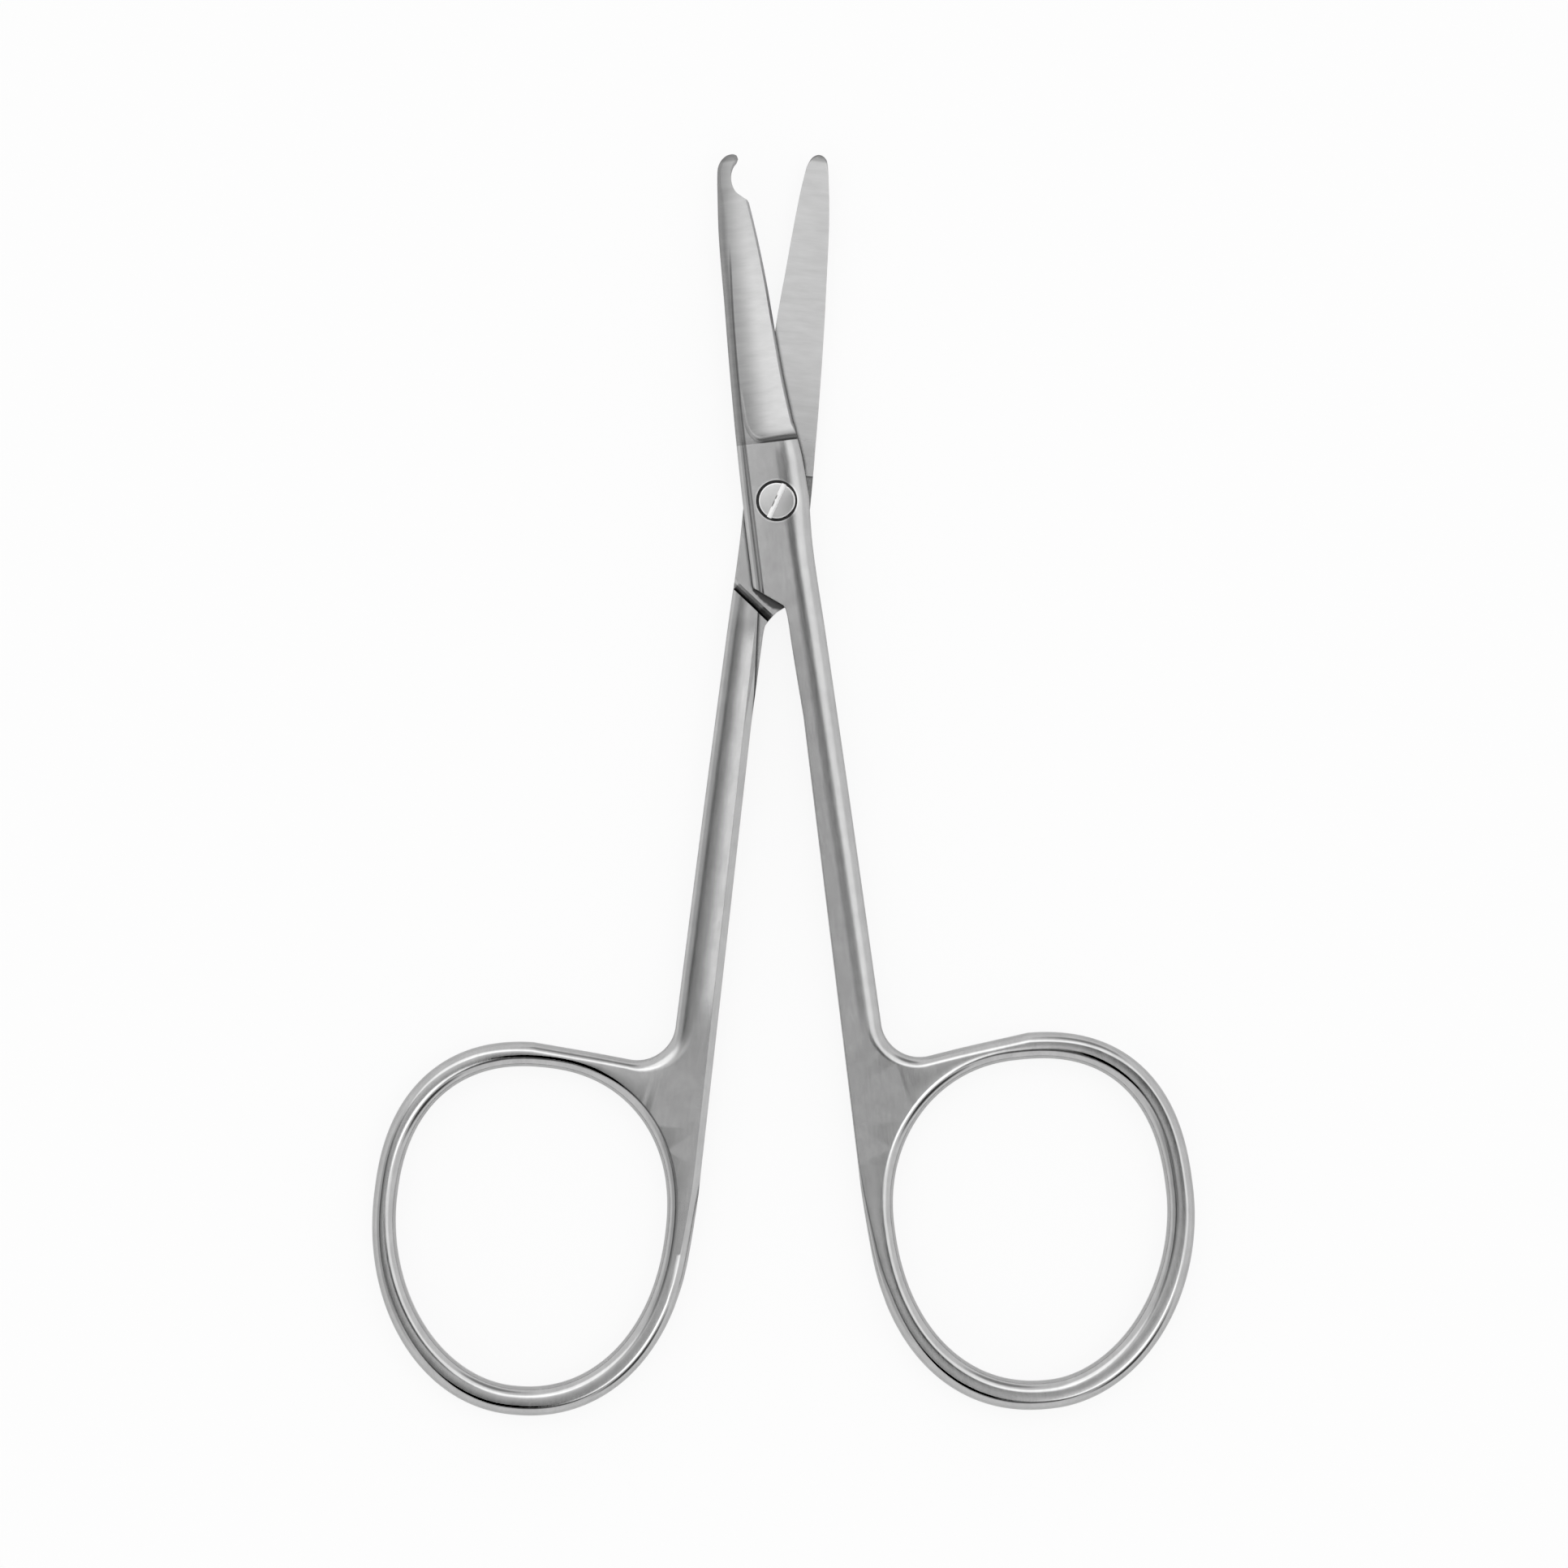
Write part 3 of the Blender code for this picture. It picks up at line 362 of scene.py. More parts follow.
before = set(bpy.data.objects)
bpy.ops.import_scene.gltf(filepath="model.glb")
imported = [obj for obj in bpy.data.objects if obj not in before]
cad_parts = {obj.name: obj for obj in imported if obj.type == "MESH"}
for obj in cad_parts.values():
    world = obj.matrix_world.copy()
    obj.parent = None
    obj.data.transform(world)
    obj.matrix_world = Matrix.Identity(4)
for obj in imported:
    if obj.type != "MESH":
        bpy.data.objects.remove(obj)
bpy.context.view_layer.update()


def linked(name, data):
    """A new object with this data, in the scene."""
    thing = bpy.data.objects.new(name, data)
    bpy.context.scene.collection.objects.link(thing)
    return thing


def object_from(bm, name):
    mesh = bpy.data.meshes.new(name)
    bm.to_mesh(mesh)
    bm.free()
    return linked(name, mesh)


def solid_from(bm, name):
    """An object of triangles that all face outwards."""
    bmesh.ops.triangulate(bm, faces=bm.faces)
    bmesh.ops.recalc_face_normals(bm, faces=bm.faces)
    return object_from(bm, name)


def apply_modifiers(thing):
    solid = thing.evaluated_get(bpy.context.evaluated_depsgraph_get())
    thing.data = bpy.data.meshes.new_from_object(solid)
    thing.modifiers.clear()


def cut(target, cutter):
    """Takes the cutter out of the target at once."""
    modifier = target.modifiers.new(cutter.name, "BOOLEAN")
    modifier.operation = "DIFFERENCE"
    modifier.solver = "EXACT"
    modifier.object = cutter
    apply_modifiers(target)
    bpy.data.objects.remove(cutter, do_unlink=True)


# Curves in the plane

def smooth(points, steps=CURVE_STEPS):
    """Points along a smooth curve through the given ones."""
    knots = [Vector(point) for point in points]
    last = len(knots) - 1
    tangents = []
    for i, knot in enumerate(knots):
        before = knots[max(i - 1, 0)]
        after = knots[min(i + 1, last)]
        tangents.append((after - before) / ((knot - before).length + (after - knot).length))
    curve = []
    for i in range(last):
        third = (knots[i + 1] - knots[i]).length / 3
        handle_out = knots[i] + tangents[i] * third
        handle_in = knots[i + 1] - tangents[i + 1] * third
        curve += interpolate_bezier(knots[i], handle_out, handle_in, knots[i + 1], steps + 1)[:-1]
    curve.append(knots[last])
    return curve


def egg_point(centre, reaches, squareness, degrees):
    """A point of an egg-shaped ring, whose quarters each have their own reach and squareness."""
    c = math.cos(math.radians(degrees))
    s = math.sin(math.radians(degrees))
    right, left, top, bottom = reaches
    if s >= 0:
        power = squareness[0] if c >= 0 else squareness[1]
    else:
        power = squareness[3] if c >= 0 else squareness[2]
    x = math.copysign((right if c >= 0 else left) * abs(c) ** (2 / power), c)
    y = math.copysign((top if s >= 0 else bottom) * abs(s) ** (2 / power), s)
    return centre + Vector((x, y))


def egg_arc(centre, reaches, squareness, start, end, steps):
    turn = (end - start) / steps
    return [egg_point(centre, reaches, squareness, start + turn * i) for i in range(steps + 1)]


def circle_arc(centre, radius, start, end, steps):
    return egg_arc(centre, (radius,) * 4, (2, 2, 2, 2), start, end, steps)


# Finishes of an edge on one side: how far it reaches in, how far it falls, and how round
# it is, from a straight bevel to a quarter of an ellipse. An edge's finish on the face
# comes first, and its finish on the mating side second.

STRAIGHT = 0.0
ROUND = 1.0
BROKEN = (BREAK_EDGE, BREAK_EDGE, ROUND)
KEEN = (KEEN_EDGE, KEEN_EDGE, STRAIGHT)
TIP = (TIP_ROUND, TIP_ROUND_DROP, TIP_ROUNDNESS)
BLADE_BEVEL = (SPINE_BEVEL_WIDTH, SPINE_BEVEL_DROP, ROUND)
INNER_FACE = (INNER_ROUND, INNER_ROUND, ROUND)
INNER_BEVEL = (INNER_BEVEL_WIDTH, INNER_BEVEL_DROP, STRAIGHT)
SHOULDER = (SHANK_SHOULDER_WIDTH, SHANK_SHOULDER_DROP, ROUND)
JOINT_SHOULDER = (JOINT_SHOULDER_WIDTH, JOINT_SHOULDER_DROP, ROUND)
CROWN = (SHANK_CROWN_WIDTH, SHANK_CROWN_DROP, ROUND)
RING_OUTER = (RING_OUTER_ROUND, RING_OUTER_DROP, ROUND)
RING_OPENING = (RING_OPENING_ROUND, RING_OPENING_DROP, ROUND)
FACE_SIDE = slice(0, 3)
MATING_SIDE = slice(3, 6)


def stretch(points, start, end=None):
    """Outline points with their finishes on the face and on the mating side, from start to end."""
    end = end or start
    lengths = [0.0]
    for a, b in zip(points, points[1:]):
        lengths.append(lengths[-1] + (b - a).length)
    rows = []
    for point, length in zip(points, lengths):
        share = length / lengths[-1]
        rows.append((point, [a + (b - a) * share for a, b in zip(start, end)]))
    return rows


# Outline of a half, counter-clockwise from the lap's corner: the lap's end, the crotch,
# the inner side of the shank, the ring, the outer side of the shank and the blade

class Half:
    """The sizes in which the two halves differ."""

    def __init__(self, name):
        hook = name == "hook_half"
        self.name = name
        self.lap_reach = HOOK_LAP_REACH if hook else PLAIN_LAP_REACH
        self.shoulder_reach = (PLAIN_LAP_REACH if hook else HOOK_LAP_REACH) + SHOULDER_CLEARANCE
        self.crotch = HOOK_CROTCH if hook else PLAIN_CROTCH
        self.waist = HOOK_WAIST if hook else PLAIN_WAIST
        self.neck_width = HOOK_NECK_WIDTH if hook else PLAIN_NECK_WIDTH
        self.root_width = HOOK_ROOT_WIDTH if hook else PLAIN_ROOT_WIDTH
        self.root_dip = HOOK_ROOT_DIP if hook else PLAIN_ROOT_DIP
        side = HOOK_OPENING_SIDE if hook else PLAIN_OPENING_SIDE
        self.ring_centre = Vector((SHANK_INNER_X + RING_SET_BACK + BAND_INNER + side,
                                   HOOK_RING_Y if hook else PLAIN_RING_Y))
        top = HOOK_OPENING_TOP if hook else PLAIN_OPENING_TOP
        band_outer = HOOK_BAND_OUTER if hook else PLAIN_BAND_OUTER
        band_top = HOOK_BAND_TOP if hook else PLAIN_BAND_TOP
        self.opening = (side, side, top, OPENING_BOTTOM)
        self.outer = (side + band_outer, side + BAND_INNER, top + band_top, OPENING_BOTTOM + BAND_BOTTOM)
        self.opening_squareness = HOOK_OPENING_SQUARENESS if hook else PLAIN_OPENING_SQUARENESS
        self.outer_squareness = HOOK_OUTER_SQUARENESS if hook else PLAIN_OUTER_SQUARENESS


def lap_end(half, x, below=0.0):
    """A point on the sloping end of the lap, or this far below it."""
    corner_y = -(half.lap_reach - JOINT_SPINE * math.sin(LAP_ANGLE)) / math.cos(LAP_ANGLE)
    return Vector((x, corner_y - (x + JOINT_SPINE) * math.tan(LAP_ANGLE) - below))


def crotch(half):
    """From the end of the lap down to the straight inner side of the shank."""
    points = [lap_end(half, x, below) for x, below in half.crotch]
    return smooth(points + [lap_end(half, SHANK_INNER_X, CROTCH_LENGTH)])


def from_tip(points):
    return [Vector((x, BLADE_LENGTH - below)) for x, below in points]


def between(start, end, shape):
    """Points on the way from start to end, at shares of the way across and along."""
    way = end - start
    return [start + Vector((way.x * across, way.y * along)) for across, along in shape]


def cutting_edge(corner, shape):
    start = Vector((JOINT_EDGE, 0.0))
    return smooth([start] + between(start, corner, shape) + [corner])


def hook_edge():
    """The cutting edge from the joint to the mouth of the hook."""
    return cutting_edge(*from_tip([MOUTH_CORNER]), HOOK_EDGE_SHAPE)


def plain_edge():
    return cutting_edge(*from_tip(PLAIN_NOSE[:1]), PLAIN_EDGE_SHAPE)


def hook_mouth():
    """The notch that catches the thread, up to the hook's round end."""
    corner, *mouth, nose = from_tip((MOUTH_CORNER, *HOOK_MOUTH, HOOK_NOSE[0]))
    return [corner] + smooth(mouth + [nose], TIP_STEPS)


def spine(half, start, shape):
    """The back of the blade, down to the corner of the lap."""
    joint = Vector((-JOINT_SPINE, 0.0))
    return smooth([start] + between(start, joint, shape) + [joint, lap_end(half, -JOINT_SPINE)])


def hook_spine(half):
    return spine(half, *from_tip(HOOK_NOSE[-1:]), HOOK_SPINE_SHAPE)


def plain_spine(half):
    return spine(half, *from_tip(PLAIN_NOSE[-1:]), PLAIN_SPINE_SHAPE)


def handle_stretches(half):
    centre = half.ring_centre
    squareness = half.outer_squareness
    crotch_side = crotch(half)
    inner_start = crotch_side[-1]
    inner_end = Vector((SHANK_INNER_X, centre.y + INNER_FACE_END))
    inner_side = [inner_start.lerp(inner_end, i / SHANK_STEPS) for i in range(SHANK_STEPS + 1)]
    band = egg_arc(centre, half.outer, squareness, *BAND_ANGLES, RING_STEPS)
    entry = [egg_point(centre, half.outer, squareness, angle) for angle in RING_ENTRY_ANGLES]
    ring_entry = smooth([inner_end, Vector((SHANK_INNER_X, centre.y + RING_ENTRY_Y))] + entry + [band[0]])
    root_x = SHANK_INNER_X + half.root_width
    neck_x = SHANK_INNER_X + half.neck_width
    ring_top = centre.y + half.outer[2]
    fillet_centre = Vector((root_x + BREAK_EDGE + ROOT_FILLET_RADIUS,
                            ring_top - half.root_dip + ROOT_FILLET_RADIUS))
    fillet = circle_arc(fillet_centre, ROOT_FILLET_RADIUS, *ROOT_FILLET_ANGLES, FILLET_STEPS)
    bridge_middle = between(fillet[0], Vector((centre.x, ring_top)), BRIDGE_SHAPE)
    bridge = smooth([band[-1]] + bridge_middle + [fillet[0]])
    neck = Vector((neck_x, SHANK_NECK_Y))
    middle = between(neck, fillet[-1], OUTER_SIDE_SHAPE)
    waist = Vector((half.waist, WAIST_Y))
    outer_side = smooth([fillet[-1]] + middle + [neck, waist, Vector((JOINT_EDGE, 0.0))])
    lap = [lap_end(half, -JOINT_SPINE), lap_end(half, -JOINT_SPINE + SPINE_BEVEL_WIDTH + BREAK_EDGE),
           crotch_side[0]]
    return [
        stretch(lap, BROKEN + BROKEN),
        stretch(crotch_side, BROKEN + BROKEN, INNER_FACE + INNER_BEVEL),
        stretch(inner_side, INNER_FACE + INNER_BEVEL),
        stretch(ring_entry, INNER_FACE + INNER_BEVEL, RING_OUTER + RING_OUTER),
        stretch(band, RING_OUTER + RING_OUTER),
        stretch(bridge, RING_OUTER + RING_OUTER),
        stretch(fillet, RING_OUTER + RING_OUTER, SHOULDER + CROWN),
        stretch(outer_side, SHOULDER + CROWN, JOINT_SHOULDER + CROWN),
    ]


def closed(stretches):
    """One closed outline of points, each with the finish that comes to it and the one that goes on."""
    outline = []
    for before, rows in zip([stretches[-1]] + stretches, stretches):
        outline.append((rows[0][0], before[-1][1], rows[0][1]))
        outline += [(point, edge, edge) for point, edge in rows[1:-1]]
    return outline


def spine_stretches(back):
    """The bevel along the back of the blade, which fades into the round tip."""
    full = next(i for i, point in enumerate(back) if point.y < BLADE_LENGTH - SPINE_BEVEL_FADE)
    return [stretch(back[:full + 1], TIP + BROKEN, BLADE_BEVEL + BROKEN),
            stretch(back[full:], BLADE_BEVEL + BROKEN)]


def nose_stretches(nose, start):
    """The round end of a blade, rounded on both sides at its top and only on the face beside it."""
    top = max(range(len(nose)), key=lambda i: nose[i].y)
    return [stretch(nose[:top + 1], start, TIP + TIP), stretch(nose[top:], TIP + TIP, TIP + BROKEN)]


def hook_outline(half):
    mouth = hook_mouth()
    neck = len(mouth) // 2
    return closed(handle_stretches(half) + [
        stretch(hook_edge(), JOINT_SHOULDER + KEEN, BROKEN + KEEN),
        stretch(mouth[:neck + 1], BROKEN + KEEN, BROKEN + BROKEN),
        stretch(mouth[neck:], BROKEN + BROKEN, TIP + TIP),
        *nose_stretches(smooth(from_tip(HOOK_NOSE), TIP_STEPS), TIP + TIP),
        *spine_stretches(hook_spine(half)),
    ])


def plain_outline(half):
    return closed(handle_stretches(half) + [
        stretch(plain_edge(), JOINT_SHOULDER + KEEN, BROKEN + KEEN),
        *nose_stretches(smooth(from_tip(PLAIN_NOSE), TIP_STEPS), BROKEN + KEEN),
        *spine_stretches(plain_spine(half)),
    ])


def opening_outline(half):
    """The finger opening, clockwise."""
    points = egg_arc(half.ring_centre, half.opening, half.opening_squareness, 360, 0, RING_STEPS)
    return closed([stretch(points, RING_OPENING + RING_OPENING)])


# Blank of a half: a forging whose thickness tapers to the blade tip and to the ring,
# with a finished edge all round its outline and its opening

def face_height(y):
    """Height of the outer face above the mating plane."""
    if y > BLADE_TAPER_START:
        share = (y - BLADE_TAPER_START) / (BLADE_LENGTH - BLADE_TAPER_START)
        return LAP_THICKNESS + (BLADE_TIP_THICKNESS - LAP_THICKNESS) * min(share, 1.0)
    return shank_half_thickness(y) - LAP_CLEARANCE / 2


def back_depth(y):
    """Depth of the other face below the mating plane, which the blade stays just clear of."""
    if y > BLADE_INNER_START:
        return -BLADE_INNER_SET
    return shank_half_thickness(y) + LAP_CLEARANCE / 2


def shank_half_thickness(y):
    at_joint = LAP_THICKNESS + LAP_CLEARANCE / 2
    at_ring = RING_THICKNESS / 2
    ring_start = (HOOK_RING_Y + PLAIN_RING_Y + HOOK_OPENING_TOP + PLAIN_OPENING_TOP) / 2
    share = (SHANK_TAPER_START - y) / (SHANK_TAPER_START - ring_start)
    share = min(max(share, 0.0), 1.0)
    return at_joint + (at_ring - at_joint) * share


def inset(outline, i, reach_before, reach_after):
    """A point of the outline moved into the metal, by its own reach from each of its two edges."""
    here = outline[i][0]
    before = (here - outline[i - 1][0]).normalized()
    after = (outline[(i + 1) % len(outline)][0] - here).normalized()
    normal_before = Vector((-before.y, before.x))
    normal_after = Vector((-after.y, after.x))
    turn = before.cross(after)
    if abs(turn) < SHARP_TURN:
        return here + (normal_before + normal_after).normalized() * (reach_before + reach_after) / 2
    return here + (after * reach_before - before * reach_after) / turn


def edge_reach(edge, share):
    """How far in and how far down the edge's profile is, at a share of the way in."""
    width, drop, roundness = edge
    turn = math.pi / 2 * share
    reach = width * (roundness * (1 - math.cos(turn)) + (1 - roundness) * share)
    fall = drop * (roundness * (1 - math.sin(turn)) + (1 - roundness) * (1 - share))
    return reach, fall


def edge_rows(outline, side, height):
    """Loops of points from the outline's side wall to the flat face."""
    rows = []
    for step in range(EDGE_STEPS + 1):
        row = []
        for i, (_, before, after) in enumerate(outline):
            reach_before, fall_before = edge_reach(before[side], step / EDGE_STEPS)
            reach_after, fall_after = edge_reach(after[side], step / EDGE_STEPS)
            place = inset(outline, i, reach_before, reach_after)
            row.append((place.x, place.y, height(place.y) - max(fall_before, fall_after)))
        rows.append(row)
    return rows


def join_loops(bm, loops):
    """Faces between each closed loop of vertices and the next."""
    for lower, upper in zip(loops, loops[1:]):
        for i in range(len(lower)):
            j = (i + 1) % len(lower)
            bm.faces.new((lower[i], lower[j], upper[j], upper[i]))


def skin_loop(bm, outline):
    """Faces of the edge all round one outline; returns the border edges of both flat faces."""
    face_rows = edge_rows(outline, FACE_SIDE, face_height)
    back_rows = edge_rows(outline, MATING_SIDE, back_depth)
    back_rows = [[(x, y, -z) for x, y, z in row] for row in back_rows]
    loops = [[bm.verts.new(co) for co in row] for row in back_rows[::-1] + face_rows]
    join_loops(bm, loops)
    borders = []
    for loop in (loops[0], loops[-1]):
        borders.append([bm.edges.get((loop[i - 1], loop[i])) for i in range(len(loop))])
    return borders


def half_blank(half, outline):
    bm = bmesh.new()
    outer_back, outer_face = skin_loop(bm, outline)
    inner_back, inner_face = skin_loop(bm, opening_outline(half))
    bmesh.ops.triangle_fill(bm, edges=outer_face + inner_face, use_beauty=True, normal=(0, 0, 1))
    bmesh.ops.triangle_fill(bm, edges=outer_back + inner_back, use_beauty=True, normal=(0, 0, -1))
    return solid_from(bm, half.name)


# Cutters

def extruded(name, corners, way):
    """A solid between a polygon and its copy, moved this way."""
    bm = bmesh.new()
    start = bm.faces.new([bm.verts.new(corner) for corner in corners])
    moved = bmesh.ops.extrude_face_region(bm, geom=[start])["geom"]
    bmesh.ops.translate(bm, verts=[item for item in moved if isinstance(item, bmesh.types.BMVert)],
                        vec=way)
    bmesh.ops.recalc_face_normals(bm, faces=bm.faces)
    return object_from(bm, name)


def prism(name, corners, low, high):
    """An upright prism on a polygon given counter-clockwise."""
    return extruded(name, [(x, y, low) for x, y in corners], (0, 0, high - low))


def rod(name, radius, low, high):
    bm = bmesh.new()
    bmesh.ops.create_cone(bm, cap_ends=True, segments=ROUND_SIDES, radius1=radius, radius2=radius,
                          depth=high - low, matrix=Matrix.Translation((0, 0, (low + high) / 2)))
    return object_from(bm, name)


def shoulder_point(x, distance):
    """A point of the line that lies this far from the pivot, along the lap's mirrored end."""
    return (x, (x * math.sin(LAP_ANGLE) - distance) / math.cos(LAP_ANGLE))


def lap_cutter(half):
    """Clears the lap and the blade down to the mating plane, and a strip beside the crotch."""
    wall = half.shoulder_reach
    strip_end = lap_end(half, 0.0, CROTCH_STRIP_LENGTH).y
    beyond_tip = BLADE_LENGTH + OUTSIDE
    corners = [(-OUTSIDE, beyond_tip), (-OUTSIDE, strip_end), (-BREAK_EDGE, strip_end),
               shoulder_point(CROTCH_STRIP_WIDTH, wall), shoulder_point(OUTSIDE, wall),
               (OUTSIDE, beyond_tip)]
    return prism(half.name + "_lap_cutter", corners, -OUTSIDE, 0.0)


def groove_cutter(half):
    """A V along the foot of the shoulder, which the corner of the other lap swings over."""
    wall = half.shoulder_reach
    section = [(0.0, -GROOVE_DEPTH), (0.0, GROOVE_DEPTH), (GROOVE_WIDTH, 0.0),
               (GROOVE_WIDTH, -GROOVE_DEPTH)]
    start = Vector((*shoulder_point(-OUTSIDE, wall), 0))
    end = Vector((*shoulder_point(OUTSIDE, wall), 0))
    across = Vector((-math.sin(LAP_ANGLE), math.cos(LAP_ANGLE), 0))
    corners = [start + across * a + Vector((0, 0, z)) for a, z in section]
    return extruded(half.name + "_groove_cutter", corners, end - start)


def relief_cutter(half):
    """Sinks the mating face round the screw."""
    corners = [(-OUTSIDE, RELIEF_BOTTOM), (OUTSIDE, RELIEF_BOTTOM), (OUTSIDE, RELIEF_TOP),
               (-OUTSIDE, RELIEF_TOP)]
    return prism(half.name + "_relief_cutter", corners, -OUTSIDE, RELIEF_DEPTH)


def fade(value, start, end):
    """A smooth change from 1 at start to 0 at end."""
    share = min(max((value - start) / (end - start), 0.0), 1.0)
    return 1 - share * share * (3 - 2 * share)


def heel_distance(beside, above):
    """How far inside the round-cornered heel of the ground face a point is."""
    across = beside * HEEL_SQUEEZE
    if across < HEEL_CORNER and above < HEEL_CORNER:
        return HEEL_CORNER - math.hypot(HEEL_CORNER - across, HEEL_CORNER - above)
    return min(across, above)


def camber_depth(left, right, share, y):
    """Depth of the cambered outer face of the blade below the flat one, at a share of its width."""
    width = right - left
    below_tip = BLADE_LENGTH - y
    fall = width * CAMBER_FALL * (CAMBER_CREST * share + (1 - CAMBER_CREST) * share * abs(share))
    lift = fade(below_tip, CAMBER_FADE_END, CAMBER_FADE_START)
    depth = fall * (1 - lift) - CAMBER_LIFT * lift
    depth += HEEL_STEP * fade(y, HEEL_Y, HEEL_STEP_END)
    inside = heel_distance(width * share, y - HEEL_Y)
    if inside < 0 or depth <= 0:
        return min(inside, depth)
    run_out = math.sqrt(depth * (2 * HEEL_FILLET - depth))
    if inside < run_out:
        depth -= HEEL_FILLET - math.sqrt(HEEL_FILLET ** 2 - (run_out - inside) ** 2)
    return depth


def spread(start, end, steps):
    return [start + (end - start) * i / steps for i in range(steps)]


def camber_cutter(half, back, edge):
    """Everything above the cambered outer face, from its heel beside the joint to the tip."""
    heel_end = HEEL_Y + HEEL_CORNER
    fade_start = BLADE_LENGTH - CAMBER_FADE_START
    rows = spread(HEEL_Y - CAMBER_MARGIN, heel_end, HEEL_ROWS) + spread(heel_end, fade_start, CAMBER_ROWS)
    rows += spread(fade_start, BLADE_LENGTH - CAMBER_FADE_END + CAMBER_MARGIN, FADE_ROWS)
    across = 1 + CAMBER_INNER_OVERLAP + CAMBER_OUTER_OVERLAP
    bm = bmesh.new()
    ground = []
    top = []
    for y in rows:
        left = crossing(back, y) + SPINE_BEVEL_WIDTH
        right = crossing(edge, y)
        shares = [-CAMBER_INNER_OVERLAP + across * (i / CAMBER_COLUMNS) ** CAMBER_CROWDING
                  for i in range(CAMBER_COLUMNS + 1)]
        line = [(left + (right - left) * share, y, face_height(y) - camber_depth(left, right, share, y))
                for share in shares]
        ground.append([bm.verts.new(co) for co in line])
        top.append([bm.verts.new((x, y, LAP_THICKNESS + OUTSIDE)) for x, y, _ in line])
    sheets = (ground, [row[::-1] for row in top])
    for sheet in sheets:
        for lower, upper in zip(sheet, sheet[1:]):
            for i in range(CAMBER_COLUMNS):
                bm.faces.new((lower[i], lower[i + 1], upper[i + 1], upper[i]))
    rim_ground = ground[0] + [row[-1] for row in ground[1:-1]] + ground[-1][::-1]
    rim_top = top[0] + [row[-1] for row in top[1:-1]] + top[-1][::-1]
    rim_ground += [row[0] for row in ground[-2:0:-1]]
    rim_top += [row[0] for row in top[-2:0:-1]]
    for i in range(len(rim_ground)):
        bm.faces.new((rim_ground[i - 1], rim_ground[i], rim_top[i], rim_top[i - 1]))
    return solid_from(bm, half.name + "_camber_cutter")


def cutting_cutter(half, edge):
    """The bevel along the cutting edge, lofted beside it, which runs out towards the joint."""
    middles = [(a + b) / 2 for a, b in zip(edge, edge[1:]) if a.y > CUTTING_START]
    first = middles[0] + Vector((CUTTING_RUN_OUT_WIDTH, -CUTTING_RUN_OUT))
    last = edge[-1] + (edge[-1] - middles[-1]).normalized() * CUTTING_RUN_OUT_WIDTH
    line = [first] + middles + [last]
    slope = math.tan(CUTTING_ANGLE)
    low = CUTTING_LAND * (1 - slope)
    high = LAP_THICKNESS + CUTTING_RISE
    reach = (high - CUTTING_LAND) / slope
    bm = bmesh.new()
    sections = []
    for i, point in enumerate(line):
        along = (line[min(i + 1, len(line) - 1)] - line[max(i - 1, 0)]).normalized()
        outward = Vector((along.y, -along.x))
        inner_low = point + outward * CUTTING_LAND
        inner_high = point - outward * reach
        outer = point + outward * CUTTING_RUN_OUT
        section = ((*inner_low, low), (*outer, low), (*outer, high), (*inner_high, high))
        sections.append([bm.verts.new(co) for co in section])
    join_loops(bm, sections)
    bm.faces.new(sections[0])
    bm.faces.new(sections[-1])
    return solid_from(bm, half.name + "_cutting_cutter")


def crossing(curve, y):
    """x of a curve where it passes a height."""
    for a, b in zip(curve, curve[1:]):
        if min(a.y, b.y) <= y <= max(a.y, b.y):
            return a.x + (b.x - a.x) * (y - a.y) / (b.y - a.y)
    return curve[-1].x


# The pieces

def place(thing, location, rotation):
    """Moves the mesh itself, so that the object stays at the frame's origin."""
    thing.data.transform(Matrix.LocRotScale(location, Euler(rotation), None))


def shade(thing):
    """Smooth shading, with a crease all round the flat mating face."""
    thing.data.shade_smooth()
    thing.data.set_sharp_from_angle(angle=SMOOTH_ANGLE)
    bm = bmesh.new()
    bm.from_mesh(thing.data)
    for edge in bm.edges:
        flat = [abs(face.normal.z) > FLAT_NORMAL for face in edge.link_faces]
        mating = all(LAP_THICKNESS / 2 < vert.co.z < 1.5 * LAP_THICKNESS for vert in edge.verts)
        if mating and any(flat) and not all(flat):
            edge.smooth = False
    bm.to_mesh(thing.data)
    bm.free()
    weighted = thing.modifiers.new("weighted_normals", "WEIGHTED_NORMAL")
    weighted.keep_sharp = True
    weighted.weight = LARGE_FACE_WEIGHT


def cut_half(thing, half, back, edge):
    cut(thing, lap_cutter(half))
    cut(thing, groove_cutter(half))
    cut(thing, relief_cutter(half))
    cut(thing, camber_cutter(half, back, edge))
    cut(thing, cutting_cutter(half, edge))


def hook_half():
    half = Half("hook_half")
    thing = half_blank(half, hook_outline(half))
    cut_half(thing, half, hook_spine(half), hook_edge())
    floor = LAP_THICKNESS - HEAD_HEIGHT - HEAD_CLEARANCE
    cut(thing, rod("hook_screw_hole", NECK_RADIUS + SCREW_CLEARANCE, -OUTSIDE, OUTSIDE))
    cut(thing, rod("hook_counterbore", HEAD_RADIUS + HEAD_GAP, floor, OUTSIDE))
    place(thing, (0, 0, LAP_THICKNESS + LAP_CLEARANCE), (0, 0, HOOK_HALF_ANGLE))
    return thing


def plain_half():
    half = Half("plain_half")
    thing = half_blank(half, plain_outline(half))
    cut_half(thing, half, plain_spine(half), plain_edge())
    cut(thing, rod("plain_screw_hole", THREAD_RADIUS + SCREW_CLEARANCE, -OUTSIDE, OUTSIDE))
    place(thing, (0, 0, LAP_THICKNESS), (0, math.pi, -PLAIN_HALF_ANGLE))
    return thing


